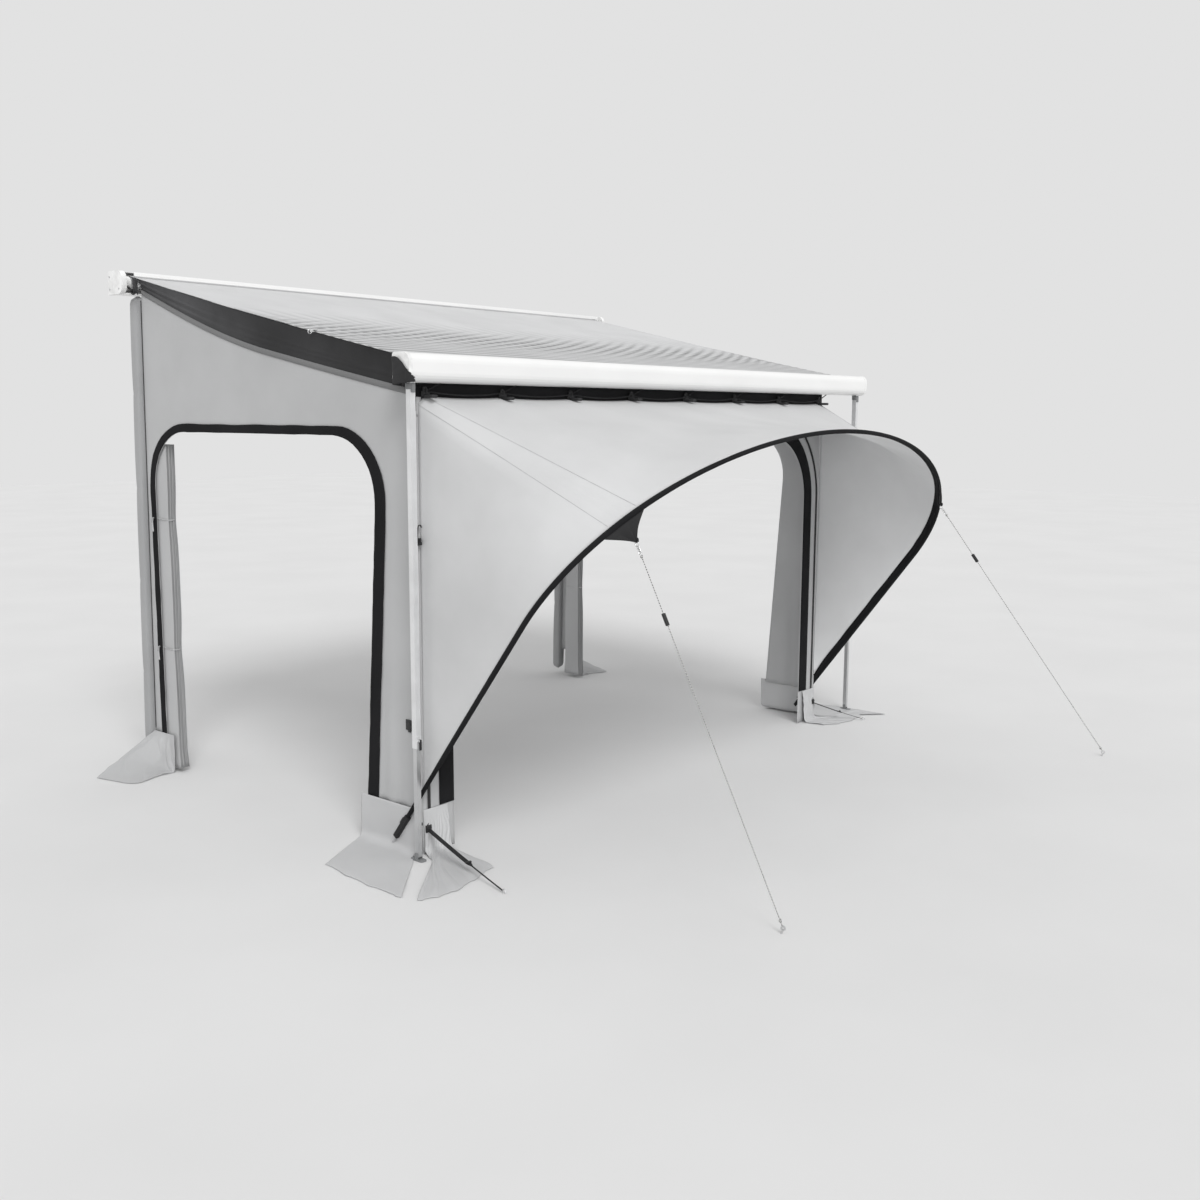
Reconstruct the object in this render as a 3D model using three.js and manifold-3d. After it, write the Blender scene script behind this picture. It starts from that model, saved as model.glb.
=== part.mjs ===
// Awning tent: a folding-arm awning in a wall cassette, with a tent room hooked under it and a
// porch hood on a bent pole in front. Millimetres, +Z up, X along the vehicle, Y towards it.
// The model is drawn with the ground at z = 0, the vehicle wall at y = 0 and the middle of the
// cassette at x = 0, and the outer group then moves the origin to the middle wall bracket.
import * as THREE from "three";
import { mergeVertices } from "three/addons/utils/BufferGeometryUtils.js";
import Module from "manifold-3d";

const degree = Math.PI / 180;
const clearance = 0.3; // between rigid faces that touch
const softClearance = 0.5; // between cloth and what it lies on
const overrun = 6; // how far a cutting solid reaches past a face

// The awning's main sizes
const awningLength = 4220; // cassette and lead rail, over their end caps
const projection = 2500; // vehicle wall to the middle of the legs
const cassetteTop = 2899; // above the ground
const railTop = 2382; // above the ground
const legInset = 55; // middle of each leg, from the rail's end

// Wall brackets
const bracketWidth = 90;
const bracketThickness = 8;
const bracketShelfDepth = 80;
const bracketInset = 450; // of the outer brackets, from the cassette's ends
const bracketBoltRadius = 9;
const bracketBoltHeight = 7;

// Cassette
const cassetteDepth = 150;
const cassetteHeight = 125;
const cassetteWall = 3;
const cassetteTopLip = 92; // how far the open front's top edge stands out
const cassetteCornerRadius = 26;
const endCapThickness = 30;
const endCapMargin = 3; // how far the cap stands proud all round
const endCapNoseRadius = 46;

// Roller, gearbox and crank
const rollerRadius = 38;
const rollerWall = 2.5;
const rollerSetback = 80; // axis, from the cassette's back
const rollerDrop = 62; // axis, below the cassette's top
const gearboxRadius = 40;
const gearboxLength = 46;
const spigotLength = 40;
const crankShaftRadius = 6;
const crankShaftLength = 96;
const crankEyeOuterRadius = 17;
const crankEyeInnerRadius = 9;
const crankEyeThickness = 9;
const crankEyeOverlap = 4; // of the eye and the shaft's end
const crankPitch = 30; // degrees below level

// Folding arms, drawn in their own sloping plane
const armInset = 560; // shoulders and wrists, from the awning's ends
const shoulderSetback = 130; // from the vehicle wall
const shoulderDrop = 59; // below the cassette
const wristGap = 100; // behind the middle of the legs
const wristDrop = 52; // below the lead rail's top
const openAngle = 15; // degrees, between each arm half and the straight line
const armWidth = 40;
const armHeight = 34;
const armStackGap = 6; // between upper arm and forearm at the elbow
const armPinRadius = 8;
const armPinClearance = 0.5;
const armCheekThickness = 6;
const armCheekGap = 1;
const armEyeRadius = 22;
const armWebThickness = 8;
const armPinHead = 12;

// Lead rail and its end caps
const railHeight = 131;
const railDepth = 110;
const railWall = 2.5;
const railFrontRadius = 42;
const railRearRadius = 12;
const railChannelDepth = 32; // the slot under the rail that takes the folded legs
const railCapThickness = 22;
const railCapMargin = 2;

// Legs
const legWidth = 28; // along X
const legDepth = 30; // along Y
const legWall = 1.8;
const legSlideClearance = 0.6;
const outerLegBottom = 550;
const innerLegTop = 1150;
const innerLegBottom = 18;
const legHeadWidth = 22;
const collarHeight = 60;
const collarWall = 4;
const leverPivotHeight = 40; // above the outer leg's lower end
const leverLength = 46;
const leverWidth = 12;
const leverThickness = 5;
const leverKnuckleRadius = 5;
const leverPinRadius = 2.2;
const leverEarThickness = 3;
const footWidth = 38;
const footLength = 84;
const footThickness = 7;
const footCheekThickness = 4;
const footPinHeight = 28;
const footPinRadius = 4;
const footCheekRadius = 10;

// Cloth
const clothThickness = 4;
const clothSeat = 0.8; // between a curved sheet and what it lies against
const roofInset = 85; // its side edges, from the awning's ends
const roofWidth = awningLength - 2 * roofInset;
const roofSag = 22;

// Tent room, hooked off centre under the awning
const legToFrontWall = 40;
const sideToFrontWall = 22; // gap at the corner, which the zip's flap bridges
const roomInset = 278;
const tentHalfWidth = awningLength / 2 - roomInset; // to the side walls' outer faces
const tentShift = -162.5; // the room's middle, from the cassette's middle
const frontWallSetback = projection - legToFrontWall; // from the vehicle wall
const wallFrontEdge = frontWallSetback - sideToFrontWall;
const wallBottom = 205;
const gussetRearHeight = 62;
const gussetMiddleHeight = 168;
const gussetFrontHeight = 150;
const gussetToCassette = 18;
const gussetToWallEdge = 8;
const gussetRearEdge = cassetteDepth + gussetToCassette;
const gussetFrontEdge = wallFrontEdge - gussetToWallEdge;
const gussetFlare = 26; // how far its top stands outside the wall
const gussetSteps = 10;

// Side doorways
const doorTop = 2050; // outer edge of the dark trim
const doorRearEdge = 165;
const doorFrontStrip = 168; // wall between the trim's upper front corner and the front edge
const doorFrontEdge = wallFrontEdge - doorFrontStrip;
const doorFrontLean = 125; // how much nearer the vehicle the front edge is at the bottom
const doorCornerRadius = 360;
const doorTrimTop = 46;
const doorTrimFront = 80;
const doorTrimRear = 50;
const trimThickness = 3;

// Rear pads, between the vehicle and the side walls
const padRearEdge = 12;
const padDepth = 74;
const padWidth = 84;
const padBottom = 40;
const padTop = 2640;
const padCrown = 9;
const padChannels = 5;

// Door curtains, gathered and tied back
const curtainRearEdge = 165;
const curtainDepth = 172;
const curtainWidth = 66;
const curtainTop = 1930;
const curtainBottom = 24;
const curtainPleats = 6;
const curtainPleatDepth = 7;
const curtainFlareShare = 0.07; // of its height, at the foot
const curtainUpperTie = 1500;
const curtainLowerTie = 740;

// Mud flaps
const flapTop = 225;
const flapReach = 395; // how far the splayed cloth lies out from the wall
const sideFlapWidth = 412;
const sideFlapInset = 6; // from the wall's front edge
const sideFlapFrontEdge = wallFrontEdge - sideFlapInset;
const sideFlapRearEdge = sideFlapFrontEdge - sideFlapWidth;
const rearFlapRearEdge = 96;
const rearFlapFrontEdge = 300;
const rearFlapSplay = 90;
const flapRagDepth = 16;
const flapRags = 6;

// Front wall and its arched doorway
const frontWallInset = 5; // of its side edges, from the side walls' outer faces
const frontHalfWidth = tentHalfWidth - frontWallInset;
const frontStripWidth = 207; // beside the doorway
const frontDoorHalfWidth = frontHalfWidth - frontStripWidth;
const frontBandHeight = 131;
const frontBandBottom = railTop - railHeight - frontBandHeight;
const frontDoorDrop = 155; // below the dark band
const frontDoorTop = frontBandBottom - frontDoorDrop;
const frontDoorCornerRadius = 400;
const frontTrimWidth = 100;
const frontBandScallop = 14;
const frontHooks = 8;
const frontFlapForwardReach = { left: 390, right: 180 };
const frontFlapSideReach = { left: 412, right: 440 };
const frontFlapFootGap = 95; // in front of the wall, where the leg's foot stands

// Hood and its bent pole
const archOverhang = 26; // outside the side walls, each side
const archHalfWidth = tentHalfWidth + archOverhang;
const archSpring = 1200; // height where the straight sides end
const archRise = 830;
const archFootInset = 210; // the pole's line at the ground, behind the front wall
const archFootSetback = frontWallSetback - archFootInset;
const archLeanShare = 0.76; // forward reach for each unit of height
const archCrownDrop = 133; // how far the crown lies back from that line
const archFootHeight = 34;
const sleeveStart = 150; // height where the sleeve begins on the pole
const poleRadius = 6;
const sleeveRadius = 11.5;
const sleeveBoreRadius = 7;
const hoodLap = 68; // over the dark band
const hoodTopHeight = frontBandBottom + hoodLap;
const hoodInset = 47; // of its rear edge, from the front wall's side edges
const hoodHalfWidth = frontHalfWidth - hoodInset;
const hoodFootHeight = 330;
const hoodRearGap = 2; // in front of the front wall
const hoodSeamOuter = 258; // where the two seams meet the pole, from its widest place
const hoodSeamInner = 388;
const hoodCornerDrop = 36;
const hoodSag = 45;

// Guys, pegs and straps
const patchInsets = [208, 410]; // where its corners are sewn to the sleeve, from the pole's widest place
const guyAnchorInset = 353; // from the pole's widest place
const guyAnchorForward = 39; // from the pole, beside the middle of the patch
const guyAnchorDrop = 91;
const guyDiameter = 4;
const guyPegs = { left: [-1497, -4282], right: [2157, -4357] };
const ringThickness = 6;
const ringInnerRadius = 6;
const ringOuterRadius = 12;
const sliderAlongShare = 0.2; // of the rope's length, from the top
const sliderLength = 56;
const sliderWidth = 18;
const sliderThickness = 9;
const pegDepth = 190;
const pegHead = 24;
const pegRadius = 4;
const pegEyeRadius = 11;
const strapWidth = 25;
const strapThickness = 3;
const strapPegs = { left: [-1928, -3098], right: [2005, -2754] };
const strapHeight = 120;
const strapBuckleDepth = 13;
const strapInset = 26;

// Sides of round things
const roundSides = 24;
const pinSides = 16;
const cornerSteps = 5;

const X = new THREE.Vector3(1, 0, 0);
const Y = new THREE.Vector3(0, 1, 0);
const Z = new THREE.Vector3(0, 0, 1);
const SIDES = { left: -1, right: 1 };

const wasm = await Module();
wasm.setup();

// Booleans

function solidOf(geometry) {
  const flat = geometry.index ? geometry.toNonIndexed() : geometry;
  const bare = new THREE.BufferGeometry();
  bare.setAttribute("position", flat.getAttribute("position"));
  const merged = mergeVertices(bare);
  return new wasm.Manifold(
    new wasm.Mesh({
      numProp: 3,
      vertProperties: merged.attributes.position.array,
      triVerts: new Uint32Array(merged.index.array),
    }),
  );
}

function geometryOf(solid) {
  const mesh = solid.getMesh();
  const geometry = new THREE.BufferGeometry();
  geometry.setAttribute(
    "position",
    new THREE.BufferAttribute(mesh.vertProperties, 3),
  );
  geometry.setIndex(new THREE.BufferAttribute(mesh.triVerts, 1));
  return geometry;
}

function join(first, ...rest) {
  return geometryOf(
    rest.reduce((sum, next) => sum.add(solidOf(next)), solidOf(first)),
  );
}

function cut(first, ...tools) {
  return geometryOf(
    tools.reduce((left, tool) => left.subtract(solidOf(tool)), solidOf(first)),
  );
}

// Outlines: a corner is [a, b] or [a, b, radius]

function outline(corners) {
  const at = (i) => {
    const [a, b] = corners[(i + corners.length) % corners.length];
    return new THREE.Vector2(a, b);
  };
  const points = [];
  corners.forEach((corner, i) => {
    const here = at(i);
    const radius = corner[2] ?? 0;
    const back = at(i - 1).sub(here);
    const ahead = at(i + 1).sub(here);
    if (!radius) {
      points.push(here);
      return;
    }
    const half = Math.acos(back.normalize().dot(ahead.normalize())) / 2;
    const reach = radius / Math.tan(half);
    const centre = back
      .clone()
      .add(ahead)
      .normalize()
      .multiplyScalar(radius / Math.sin(half))
      .add(here);
    const start = here.clone().addScaledVector(back, reach).sub(centre);
    const end = here.clone().addScaledVector(ahead, reach).sub(centre);
    const sweep = Math.atan2(start.cross(end), start.dot(end));
    for (let step = 0; step <= cornerSteps; step++) {
      const angle = start.angle() + (sweep * step) / cornerSteps;
      points.push(
        new THREE.Vector2(Math.cos(angle), Math.sin(angle))
          .multiplyScalar(radius)
          .add(centre),
      );
    }
  });
  return new THREE.Shape(points);
}

function circle(radius, sides = roundSides, a = 0, b = 0) {
  return Array.from({ length: sides }, (_, i) => {
    const angle = (2 * Math.PI * i) / sides;
    return new THREE.Vector2(
      a + radius * Math.cos(angle),
      b + radius * Math.sin(angle),
    );
  });
}

function ringShape(outer, inner, sides = roundSides) {
  const shape = new THREE.Shape(circle(outer, sides));
  shape.holes.push(new THREE.Path(circle(inner, sides)));
  return shape;
}

// Prisms: a (y, z) outline along X, an (x, z) outline along Y, an (x, y) outline along Z

function extrude(shape, depth) {
  return new THREE.ExtrudeGeometry(shape, { depth, bevelEnabled: false });
}

function prismX(shape, from, to) {
  return extrude(shape, to - from)
    .applyMatrix4(new THREE.Matrix4().makeBasis(Y, Z, X))
    .translate(from, 0, 0);
}

function prismY(shape, from, to) {
  return extrude(shape, to - from)
    .applyMatrix4(new THREE.Matrix4().makeBasis(X, Z, Y.clone().negate()))
    .translate(0, to, 0);
}

function prismZ(shape, from, to) {
  return extrude(shape, to - from).translate(0, 0, from);
}

function box(x, y, z) {
  return new THREE.BoxGeometry(x[1] - x[0], y[1] - y[0], z[1] - z[0]).translate(
    (x[0] + x[1]) / 2,
    (y[0] + y[1]) / 2,
    (z[0] + z[1]) / 2,
  );
}

function rod(from, to, radius, sides = pinSides) {
  const along = to.clone().sub(from);
  return new THREE.CylinderGeometry(radius, radius, along.length(), sides)
    .applyQuaternion(
      new THREE.Quaternion().setFromUnitVectors(Y, along.clone().normalize()),
    )
    .translate(...from.clone().add(to).multiplyScalar(0.5).toArray());
}

const point = (x, y, z) => new THREE.Vector3(x, y, z);

// A closed surface from rings of points, each ring with as many points as the next

function skin(rings) {
  const count = rings[0].length;
  const places = rings.flat().flatMap((p) => p.toArray());
  const faces = [];
  const corner = (ring, i) => ring * count + (i % count);
  for (let ring = 0; ring + 1 < rings.length; ring++)
    for (let i = 0; i < count; i++) {
      const [a, b] = [corner(ring, i), corner(ring, i + 1)];
      const [c, d] = [corner(ring + 1, i + 1), corner(ring + 1, i)];
      faces.push(a, b, c, a, c, d);
    }
  const ends = [0, rings.length - 1];
  ends.forEach((ring, end) => {
    const middle = places.length / 3;
    const sum = rings[ring].reduce((s, p) => s.add(p), point(0, 0, 0));
    places.push(...sum.divideScalar(count).toArray());
    for (let i = 0; i < count; i++) {
      const pair = [corner(ring, i + 1), corner(ring, i)];
      faces.push(middle, ...(end ? pair.reverse() : pair));
    }
  });
  return facingOut(places, faces);
}

// A closed sheet of cloth over the middle surface at(u, v), with u and v from 0 to 1

function sheet(at, uSteps, vSteps, thickness = clothThickness) {
  const nudge = 1e-3;
  const places = [];
  const half = thickness / 2;
  for (const face of [1, -1])
    for (let i = 0; i <= uSteps; i++)
      for (let j = 0; j <= vSteps; j++) {
        const [u, v] = [i / uSteps, j / vSteps];
        const alongU = at(Math.min(1, u + nudge), v).sub(
          at(Math.max(0, u - nudge), v),
        );
        const alongV = at(u, Math.min(1, v + nudge)).sub(
          at(u, Math.max(0, v - nudge)),
        );
        const normal = alongU.cross(alongV).normalize();
        places.push(
          ...at(u, v)
            .addScaledVector(normal, face * half)
            .toArray(),
        );
      }
  const row = vSteps + 1;
  const layer = row * (uSteps + 1);
  const faces = [];
  const quad = (a, b, c, d) => faces.push(a, b, c, a, c, d);
  for (let i = 0; i < uSteps; i++)
    for (let j = 0; j < vSteps; j++) {
      const a = i * row + j;
      quad(a, a + row, a + row + 1, a + 1);
      quad(layer + a, layer + a + 1, layer + a + row + 1, layer + a + row);
    }
  for (let i = 0; i < uSteps; i++) {
    const [a, b] = [i * row, (i + 1) * row];
    quad(a, layer + a, layer + b, b);
    quad(a + vSteps, b + vSteps, layer + b + vSteps, layer + a + vSteps);
  }
  for (let j = 0; j < vSteps; j++) {
    const last = uSteps * row;
    quad(j, j + 1, layer + j + 1, layer + j);
    quad(last + j, layer + last + j, layer + last + j + 1, last + j + 1);
  }
  return facingOut(places, faces);
}

function facingOut(places, faces) {
  const geometry = new THREE.BufferGeometry();
  geometry.setAttribute("position", new THREE.Float32BufferAttribute(places, 3));
  geometry.setIndex(faces);
  if (solidOf(geometry).volume() < 0) geometry.setIndex(faces.reverse());
  return geometry;
}

// Scene graph

const tent = new THREE.Group();

function add(group, name, geometry, colour, roughness, metalness = 0) {
  const material = new THREE.MeshStandardMaterial({
    color: colour,
    roughness,
    metalness,
  });
  const mesh = new THREE.Mesh(geometry, material);
  mesh.name = name;
  group.add(mesh);
}

const white = 0xf2f2f0;
const aluminium = 0xc9cbcd;
const steel = 0xb4b6b8;
const blackPlastic = 0x1c1d1f;
const greyPlastic = 0x8e9092;
const roofGrey = 0xdedfe0;
const wallGrey = 0xc6c7c9;
const darkCloth = 0x33353a;
const padGrey = 0xb9babc;
const ropeGrey = 0x55575b;

// Places that several pieces share

const cassetteBack = -(bracketThickness + clearance);
const cassetteFront = cassetteBack - cassetteDepth;
const cassetteBottom = cassetteTop - cassetteHeight;
const halfLength = awningLength / 2;
const rollerAxis = { y: cassetteBack - rollerSetback, z: cassetteTop - rollerDrop };
const railRear = -(projection - railDepth / 2);
const railFront = railRear - railDepth;
const railBottom = railTop - railHeight;
const legX = (side) => side * (halfLength - legInset);
const legY = -projection;
const wallX = (side) => tentShift + side * tentHalfWidth;
const frontWallY = -frontWallSetback;

const wallRearEdge = padRearEdge + padDepth + softClearance;

// The roof cloth leaves the roller's top and runs to the rail's rear face
const roofRear = { y: rollerAxis.y, z: rollerAxis.z + rollerRadius + (5 / 4) * clothThickness };
const roofFront = { y: railRear + softClearance, z: railTop - railRearRadius };

function roofHeight(x, y) {
  const share = (y - roofRear.y) / (roofFront.y - roofRear.y);
  const edge = (x / (roofWidth / 2)) ** 2;
  const sag = roofSag * 4 * share * (1 - share) * (1 - edge / 2);
  return roofRear.z + (roofFront.z - roofRear.z) * share - sag;
}

// Cassette

function capOutline(margin) {
  const [back, front] = [cassetteBack, cassetteFront - margin];
  const [low, high] = [cassetteBottom - margin, cassetteTop + margin];
  return outline([
    [back, low],
    [back, high, cassetteCornerRadius],
    [front, high, endCapNoseRadius],
    [front, low, endCapNoseRadius],
  ]);
}

function cassetteHousing() {
  const inner = cassetteCornerRadius - cassetteWall;
  const shelf = cassetteBottom + cassetteWall;
  const ceiling = cassetteTop - cassetteWall;
  const profile = outline([
    [cassetteBack, cassetteBottom],
    [cassetteBack, cassetteTop, cassetteCornerRadius],
    [cassetteBack - cassetteTopLip, cassetteTop],
    [cassetteBack - cassetteTopLip, ceiling],
    [cassetteBack - cassetteWall, ceiling, inner],
    [cassetteBack - cassetteWall, shelf],
    [cassetteFront, shelf],
    [cassetteFront, cassetteBottom],
  ]);
  const reach = halfLength - endCapThickness - clearance;
  return prismX(profile, -reach, reach);
}

function endCap(side) {
  const inner = halfLength - endCapThickness;
  const plate = prismX(
    capOutline(endCapMargin),
    Math.min(side * inner, side * halfLength),
    Math.max(side * inner, side * halfLength),
  );
  if (side < 0) return plate;
  const spigot = rod(
    point(inner + overrun, rollerAxis.y, rollerAxis.z),
    point(inner - gearboxLength - spigotLength, rollerAxis.y, rollerAxis.z),
    rollerRadius - rollerWall - clearance,
    roundSides,
  );
  const hub = rod(
    point(inner + overrun, rollerAxis.y, rollerAxis.z),
    point(inner - gearboxLength, rollerAxis.y, rollerAxis.z),
    rollerRadius,
    roundSides,
  );
  return join(plate, hub, spigot);
}

const crankDirection = point(
  0,
  -Math.cos(crankPitch * degree),
  -Math.sin(crankPitch * degree),
);
const crankX = -(halfLength - endCapThickness - clearance - gearboxLength / 2);
const crankOrigin = point(crankX, rollerAxis.y, rollerAxis.z);

function gearbox() {
  const outer = -(halfLength - endCapThickness - clearance);
  const axis = (x) => point(x, rollerAxis.y, rollerAxis.z);
  const drum = rod(
    axis(outer),
    axis(outer + gearboxLength),
    gearboxRadius,
    roundSides,
  );
  const spigot = rod(
    axis(outer + gearboxLength - overrun),
    axis(outer + gearboxLength + spigotLength),
    rollerRadius - rollerWall - clearance,
    roundSides,
  );
  const snout = rod(
    crankOrigin,
    crankOrigin.clone().addScaledVector(crankDirection, gearboxRadius + overrun),
    2 * crankShaftRadius,
  );
  const bore = rod(
    crankOrigin.clone().addScaledVector(crankDirection, gearboxRadius / 2),
    crankOrigin.clone().addScaledVector(crankDirection, 2 * gearboxRadius),
    crankShaftRadius + clearance,
  );
  return cut(join(drum, spigot, snout), bore);
}

function crankEye() {
  const start = crankOrigin
    .clone()
    .addScaledVector(crankDirection, gearboxRadius / 2 + clearance);
  const end = crankOrigin.clone().addScaledVector(crankDirection, crankShaftLength);
  const eye = extrude(
    ringShape(crankEyeOuterRadius, crankEyeInnerRadius),
    crankEyeThickness,
  )
    .translate(0, 0, -crankEyeThickness / 2)
    .applyMatrix4(new THREE.Matrix4().makeBasis(Y, Z, X))
    .translate(
      ...end
        .clone()
        .addScaledVector(crankDirection, crankEyeOuterRadius - crankEyeOverlap)
        .toArray(),
    );
  return join(rod(start, end, crankShaftRadius), eye);
}

function rollerTube() {
  const left = -(halfLength - endCapThickness - gearboxLength - 2 * clearance);
  const right = halfLength - endCapThickness - gearboxLength - clearance;
  return prismX(
    ringShape(rollerRadius, rollerRadius - rollerWall),
    left,
    right,
  ).translate(0, rollerAxis.y, rollerAxis.z);
}

function wallBracket(x) {
  const half = bracketWidth / 2;
  const shelfTop = cassetteBottom - clearance;
  const shelf = outline([
    [0, shelfTop - bracketThickness],
    [0, cassetteTop - cassetteCornerRadius],
    [-bracketThickness, cassetteTop - cassetteCornerRadius],
    [-bracketThickness, shelfTop],
    [-bracketShelfDepth, shelfTop],
    [-bracketShelfDepth, shelfTop - bracketThickness],
  ]);
  const bolt = (share) =>
    prismZ(
      new THREE.Shape(
        circle(
          bracketBoltRadius,
          6,
          x + share * half,
          -bracketShelfDepth * (1 - 1 / 3),
        ),
      ),
      shelfTop - bracketThickness - bracketBoltHeight,
      shelfTop - bracketThickness / 2,
    );
  return join(prismX(shelf, x - half, x + half), bolt(-1 / 2), bolt(1 / 2));
}

// Folding arms, in a plane that slopes from the shoulders down to the wrists. Here x runs along
// the vehicle, y up the slope towards it and z square to the plane, with the shoulders at y = 0.

const shoulderHeight = cassetteBottom - shoulderDrop;
const wristHeight = railTop - wristDrop;
const wristSetback = projection - wristGap;
const armRise = shoulderHeight - wristHeight;
const armRun = wristSetback - shoulderSetback;
const armSlope = Math.atan2(armRise, armRun);
const armReach = Math.hypot(armRise, armRun);
const armLength = armReach / 2 / Math.cos(openAngle * degree);
const armLevel = (armHeight + armStackGap) / 2;

const armPlane = new THREE.Group();
armPlane.position.set(0, -shoulderSetback, shoulderHeight);
armPlane.rotation.x = armSlope;
tent.add(armPlane);

const armX = (side) => side * (halfLength - armInset);
const shoulderAt = (side) => [armX(side), 0];
const wristAt = (side) => [armX(side), -armReach];
const elbowAt = (side) => [
  armX(side) - side * armLength * Math.sin(openAngle * degree),
  -armReach / 2,
];

// A bar with round ends between two pivots, with a bore at each end that names a radius

function armBar(from, to, level, bores) {
  const [dx, dy] = [to[0] - from[0], to[1] - from[1]];
  const length = Math.hypot(dx, dy);
  const waist = outline([
    [0, -armWidth / 2],
    [length, -armWidth / 2],
    [length, armWidth / 2],
    [0, armWidth / 2],
  ]);
  const [low, high] = [level - armHeight / 2, level + armHeight / 2];
  const eye = (x) => prismZ(new THREE.Shape(circle(armEyeRadius, roundSides, x)), low, high);
  const bar = join(prismZ(waist, low, high), eye(0), eye(length));
  const tools = bores.map(([share, radius]) =>
    prismZ(
      new THREE.Shape(circle(radius, roundSides, share * length)),
      low - overrun,
      high + overrun,
    ),
  );
  const bored = tools.length ? cut(bar, ...tools) : bar;
  return bored.rotateZ(Math.atan2(dy, dx)).translate(from[0], from[1], 0);
}

const pinBore = armPinRadius + armPinClearance;

function upperArm(side) {
  const [ex, ey] = elbowAt(side);
  const low = armLevel - armHeight / 2 - armStackGap - armHeight - armCheekGap;
  const pin = rod(point(ex, ey, low - overrun / 2), point(ex, ey, armLevel), armPinRadius);
  const head = rod(
    point(ex, ey, low - overrun),
    point(ex, ey, low),
    armPinHead,
  );
  const bar = armBar(shoulderAt(side), elbowAt(side), armLevel, [[0, pinBore]]);
  return join(bar, pin, head);
}

function forearm(side) {
  return armBar(elbowAt(side), wristAt(side), -armLevel, [
    [0, pinBore],
    [1, pinBore],
  ]);
}

// Two cheeks, the pin between them and the web behind, which reaches to webEdge

function clevis([x, y], level, towards, webEdge) {
  const reach = armHeight / 2 + armCheekGap;
  const half = armEyeRadius;
  const cheek = (low) =>
    join(
      prismZ(new THREE.Shape(circle(half, roundSides, x, y)), low, low + armCheekThickness),
      box(
        [x - half, x + half],
        [Math.min(y, webEdge), Math.max(y, webEdge)],
        [low, low + armCheekThickness],
      ),
    );
  const [low, high] = [level - reach - armCheekThickness, level + reach];
  const web = box(
    [x - half, x + half],
    towards > 0
      ? [webEdge - armWebThickness, webEdge]
      : [webEdge, webEdge + armWebThickness],
    [low, high + armCheekThickness],
  );
  const pin = rod(
    point(x, y, low + armCheekThickness / 2),
    point(x, y, high + armCheekThickness / 2),
    armPinRadius,
  );
  return join(cheek(low), cheek(high), web, pin);
}

// The shoulder hangs from the cassette's underside, so its block is cut level with it

function shoulderBracket(side) {
  const [x] = shoulderAt(side);
  const webEdge = armEyeRadius + armWebThickness + armCheekThickness;
  const fork = clevis(shoulderAt(side), armLevel, 1, webEdge);
  const post = box(
    [x - armEyeRadius, x + armEyeRadius],
    [webEdge - armWebThickness, webEdge + armWebThickness],
    [0, cassetteBottom - shoulderHeight + armEyeRadius],
  );
  const slope = new THREE.Matrix4()
    .makeTranslation(0, -shoulderSetback, shoulderHeight)
    .multiply(new THREE.Matrix4().makeRotationX(armSlope));
  const level = join(fork, post).applyMatrix4(slope);
  const pad = box(
    [x - 2 * armEyeRadius, x + 2 * armEyeRadius],
    [cassetteFront, cassetteBack - cassetteDepth / 3],
    [cassetteBottom - armWebThickness - clearance, cassetteBottom - clearance],
  );
  const above = box(
    [x - awningLength, x + awningLength],
    [cassetteFront - cassetteDepth, 0],
    [cassetteBottom - clearance, cassetteTop],
  );
  return cut(join(level, pad), above);
}

// The wrist bracket is bolted to the lead rail's rear face

function wristBracket(side) {
  const [x] = wristAt(side);
  const face = railRear + clearance;
  const webEdge = -armReach - (-railRear - wristSetback);
  const slope = new THREE.Matrix4()
    .makeTranslation(0, -shoulderSetback, shoulderHeight)
    .multiply(new THREE.Matrix4().makeRotationX(armSlope));
  const fork = clevis(wristAt(side), -armLevel, -1, webEdge).applyMatrix4(slope);
  const middle = wristHeight - armLevel;
  const plate = box(
    [x - 2 * armEyeRadius, x + 2 * armEyeRadius],
    [face, face + armWebThickness],
    [middle - armHeight, middle + armHeight],
  );
  const rail = box(
    [x - awningLength, x + awningLength],
    [railFront, face],
    [railBottom - railHeight, railTop + railHeight],
  );
  return cut(join(fork, plate), rail);
}

// Lead rail

function railOutline(margin) {
  return outline([
    [railRear + margin, railBottom - margin, railRearRadius + margin],
    [railRear + margin, railTop + margin, railRearRadius + margin],
    [railFront - margin, railTop + margin, railFrontRadius + margin],
    [railFront - margin, railBottom - margin, railFrontRadius + margin],
  ]);
}

function leadRail() {
  const reach = halfLength - railCapThickness - clearance;
  const slot = (wall) => {
    const half = legDepth / 2 + clearance + wall;
    return box(
      [-awningLength, awningLength],
      [legY - half, legY + half],
      [railBottom - overrun, railBottom + railChannelDepth + wall],
    );
  };
  const inside = prismX(railOutline(-railWall), -halfLength, halfLength);
  const hollow = cut(inside, slot(railWall));
  return cut(prismX(railOutline(0), -reach, reach), slot(0), hollow);
}

function railCap(side) {
  const ends = [side * (halfLength - railCapThickness), side * halfLength];
  return prismX(railOutline(railCapMargin), Math.min(...ends), Math.max(...ends));
}

// Legs

function bar(x, width, depth, low, high) {
  return box(
    [x - width / 2, x + width / 2],
    [legY - depth / 2, legY + depth / 2],
    [low, high],
  );
}

const leverPivot = (side) =>
  point(
    legX(side),
    legY - legDepth / 2 - collarWall - leverKnuckleRadius - 2 * clearance,
    outerLegBottom + leverPivotHeight,
  );

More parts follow.
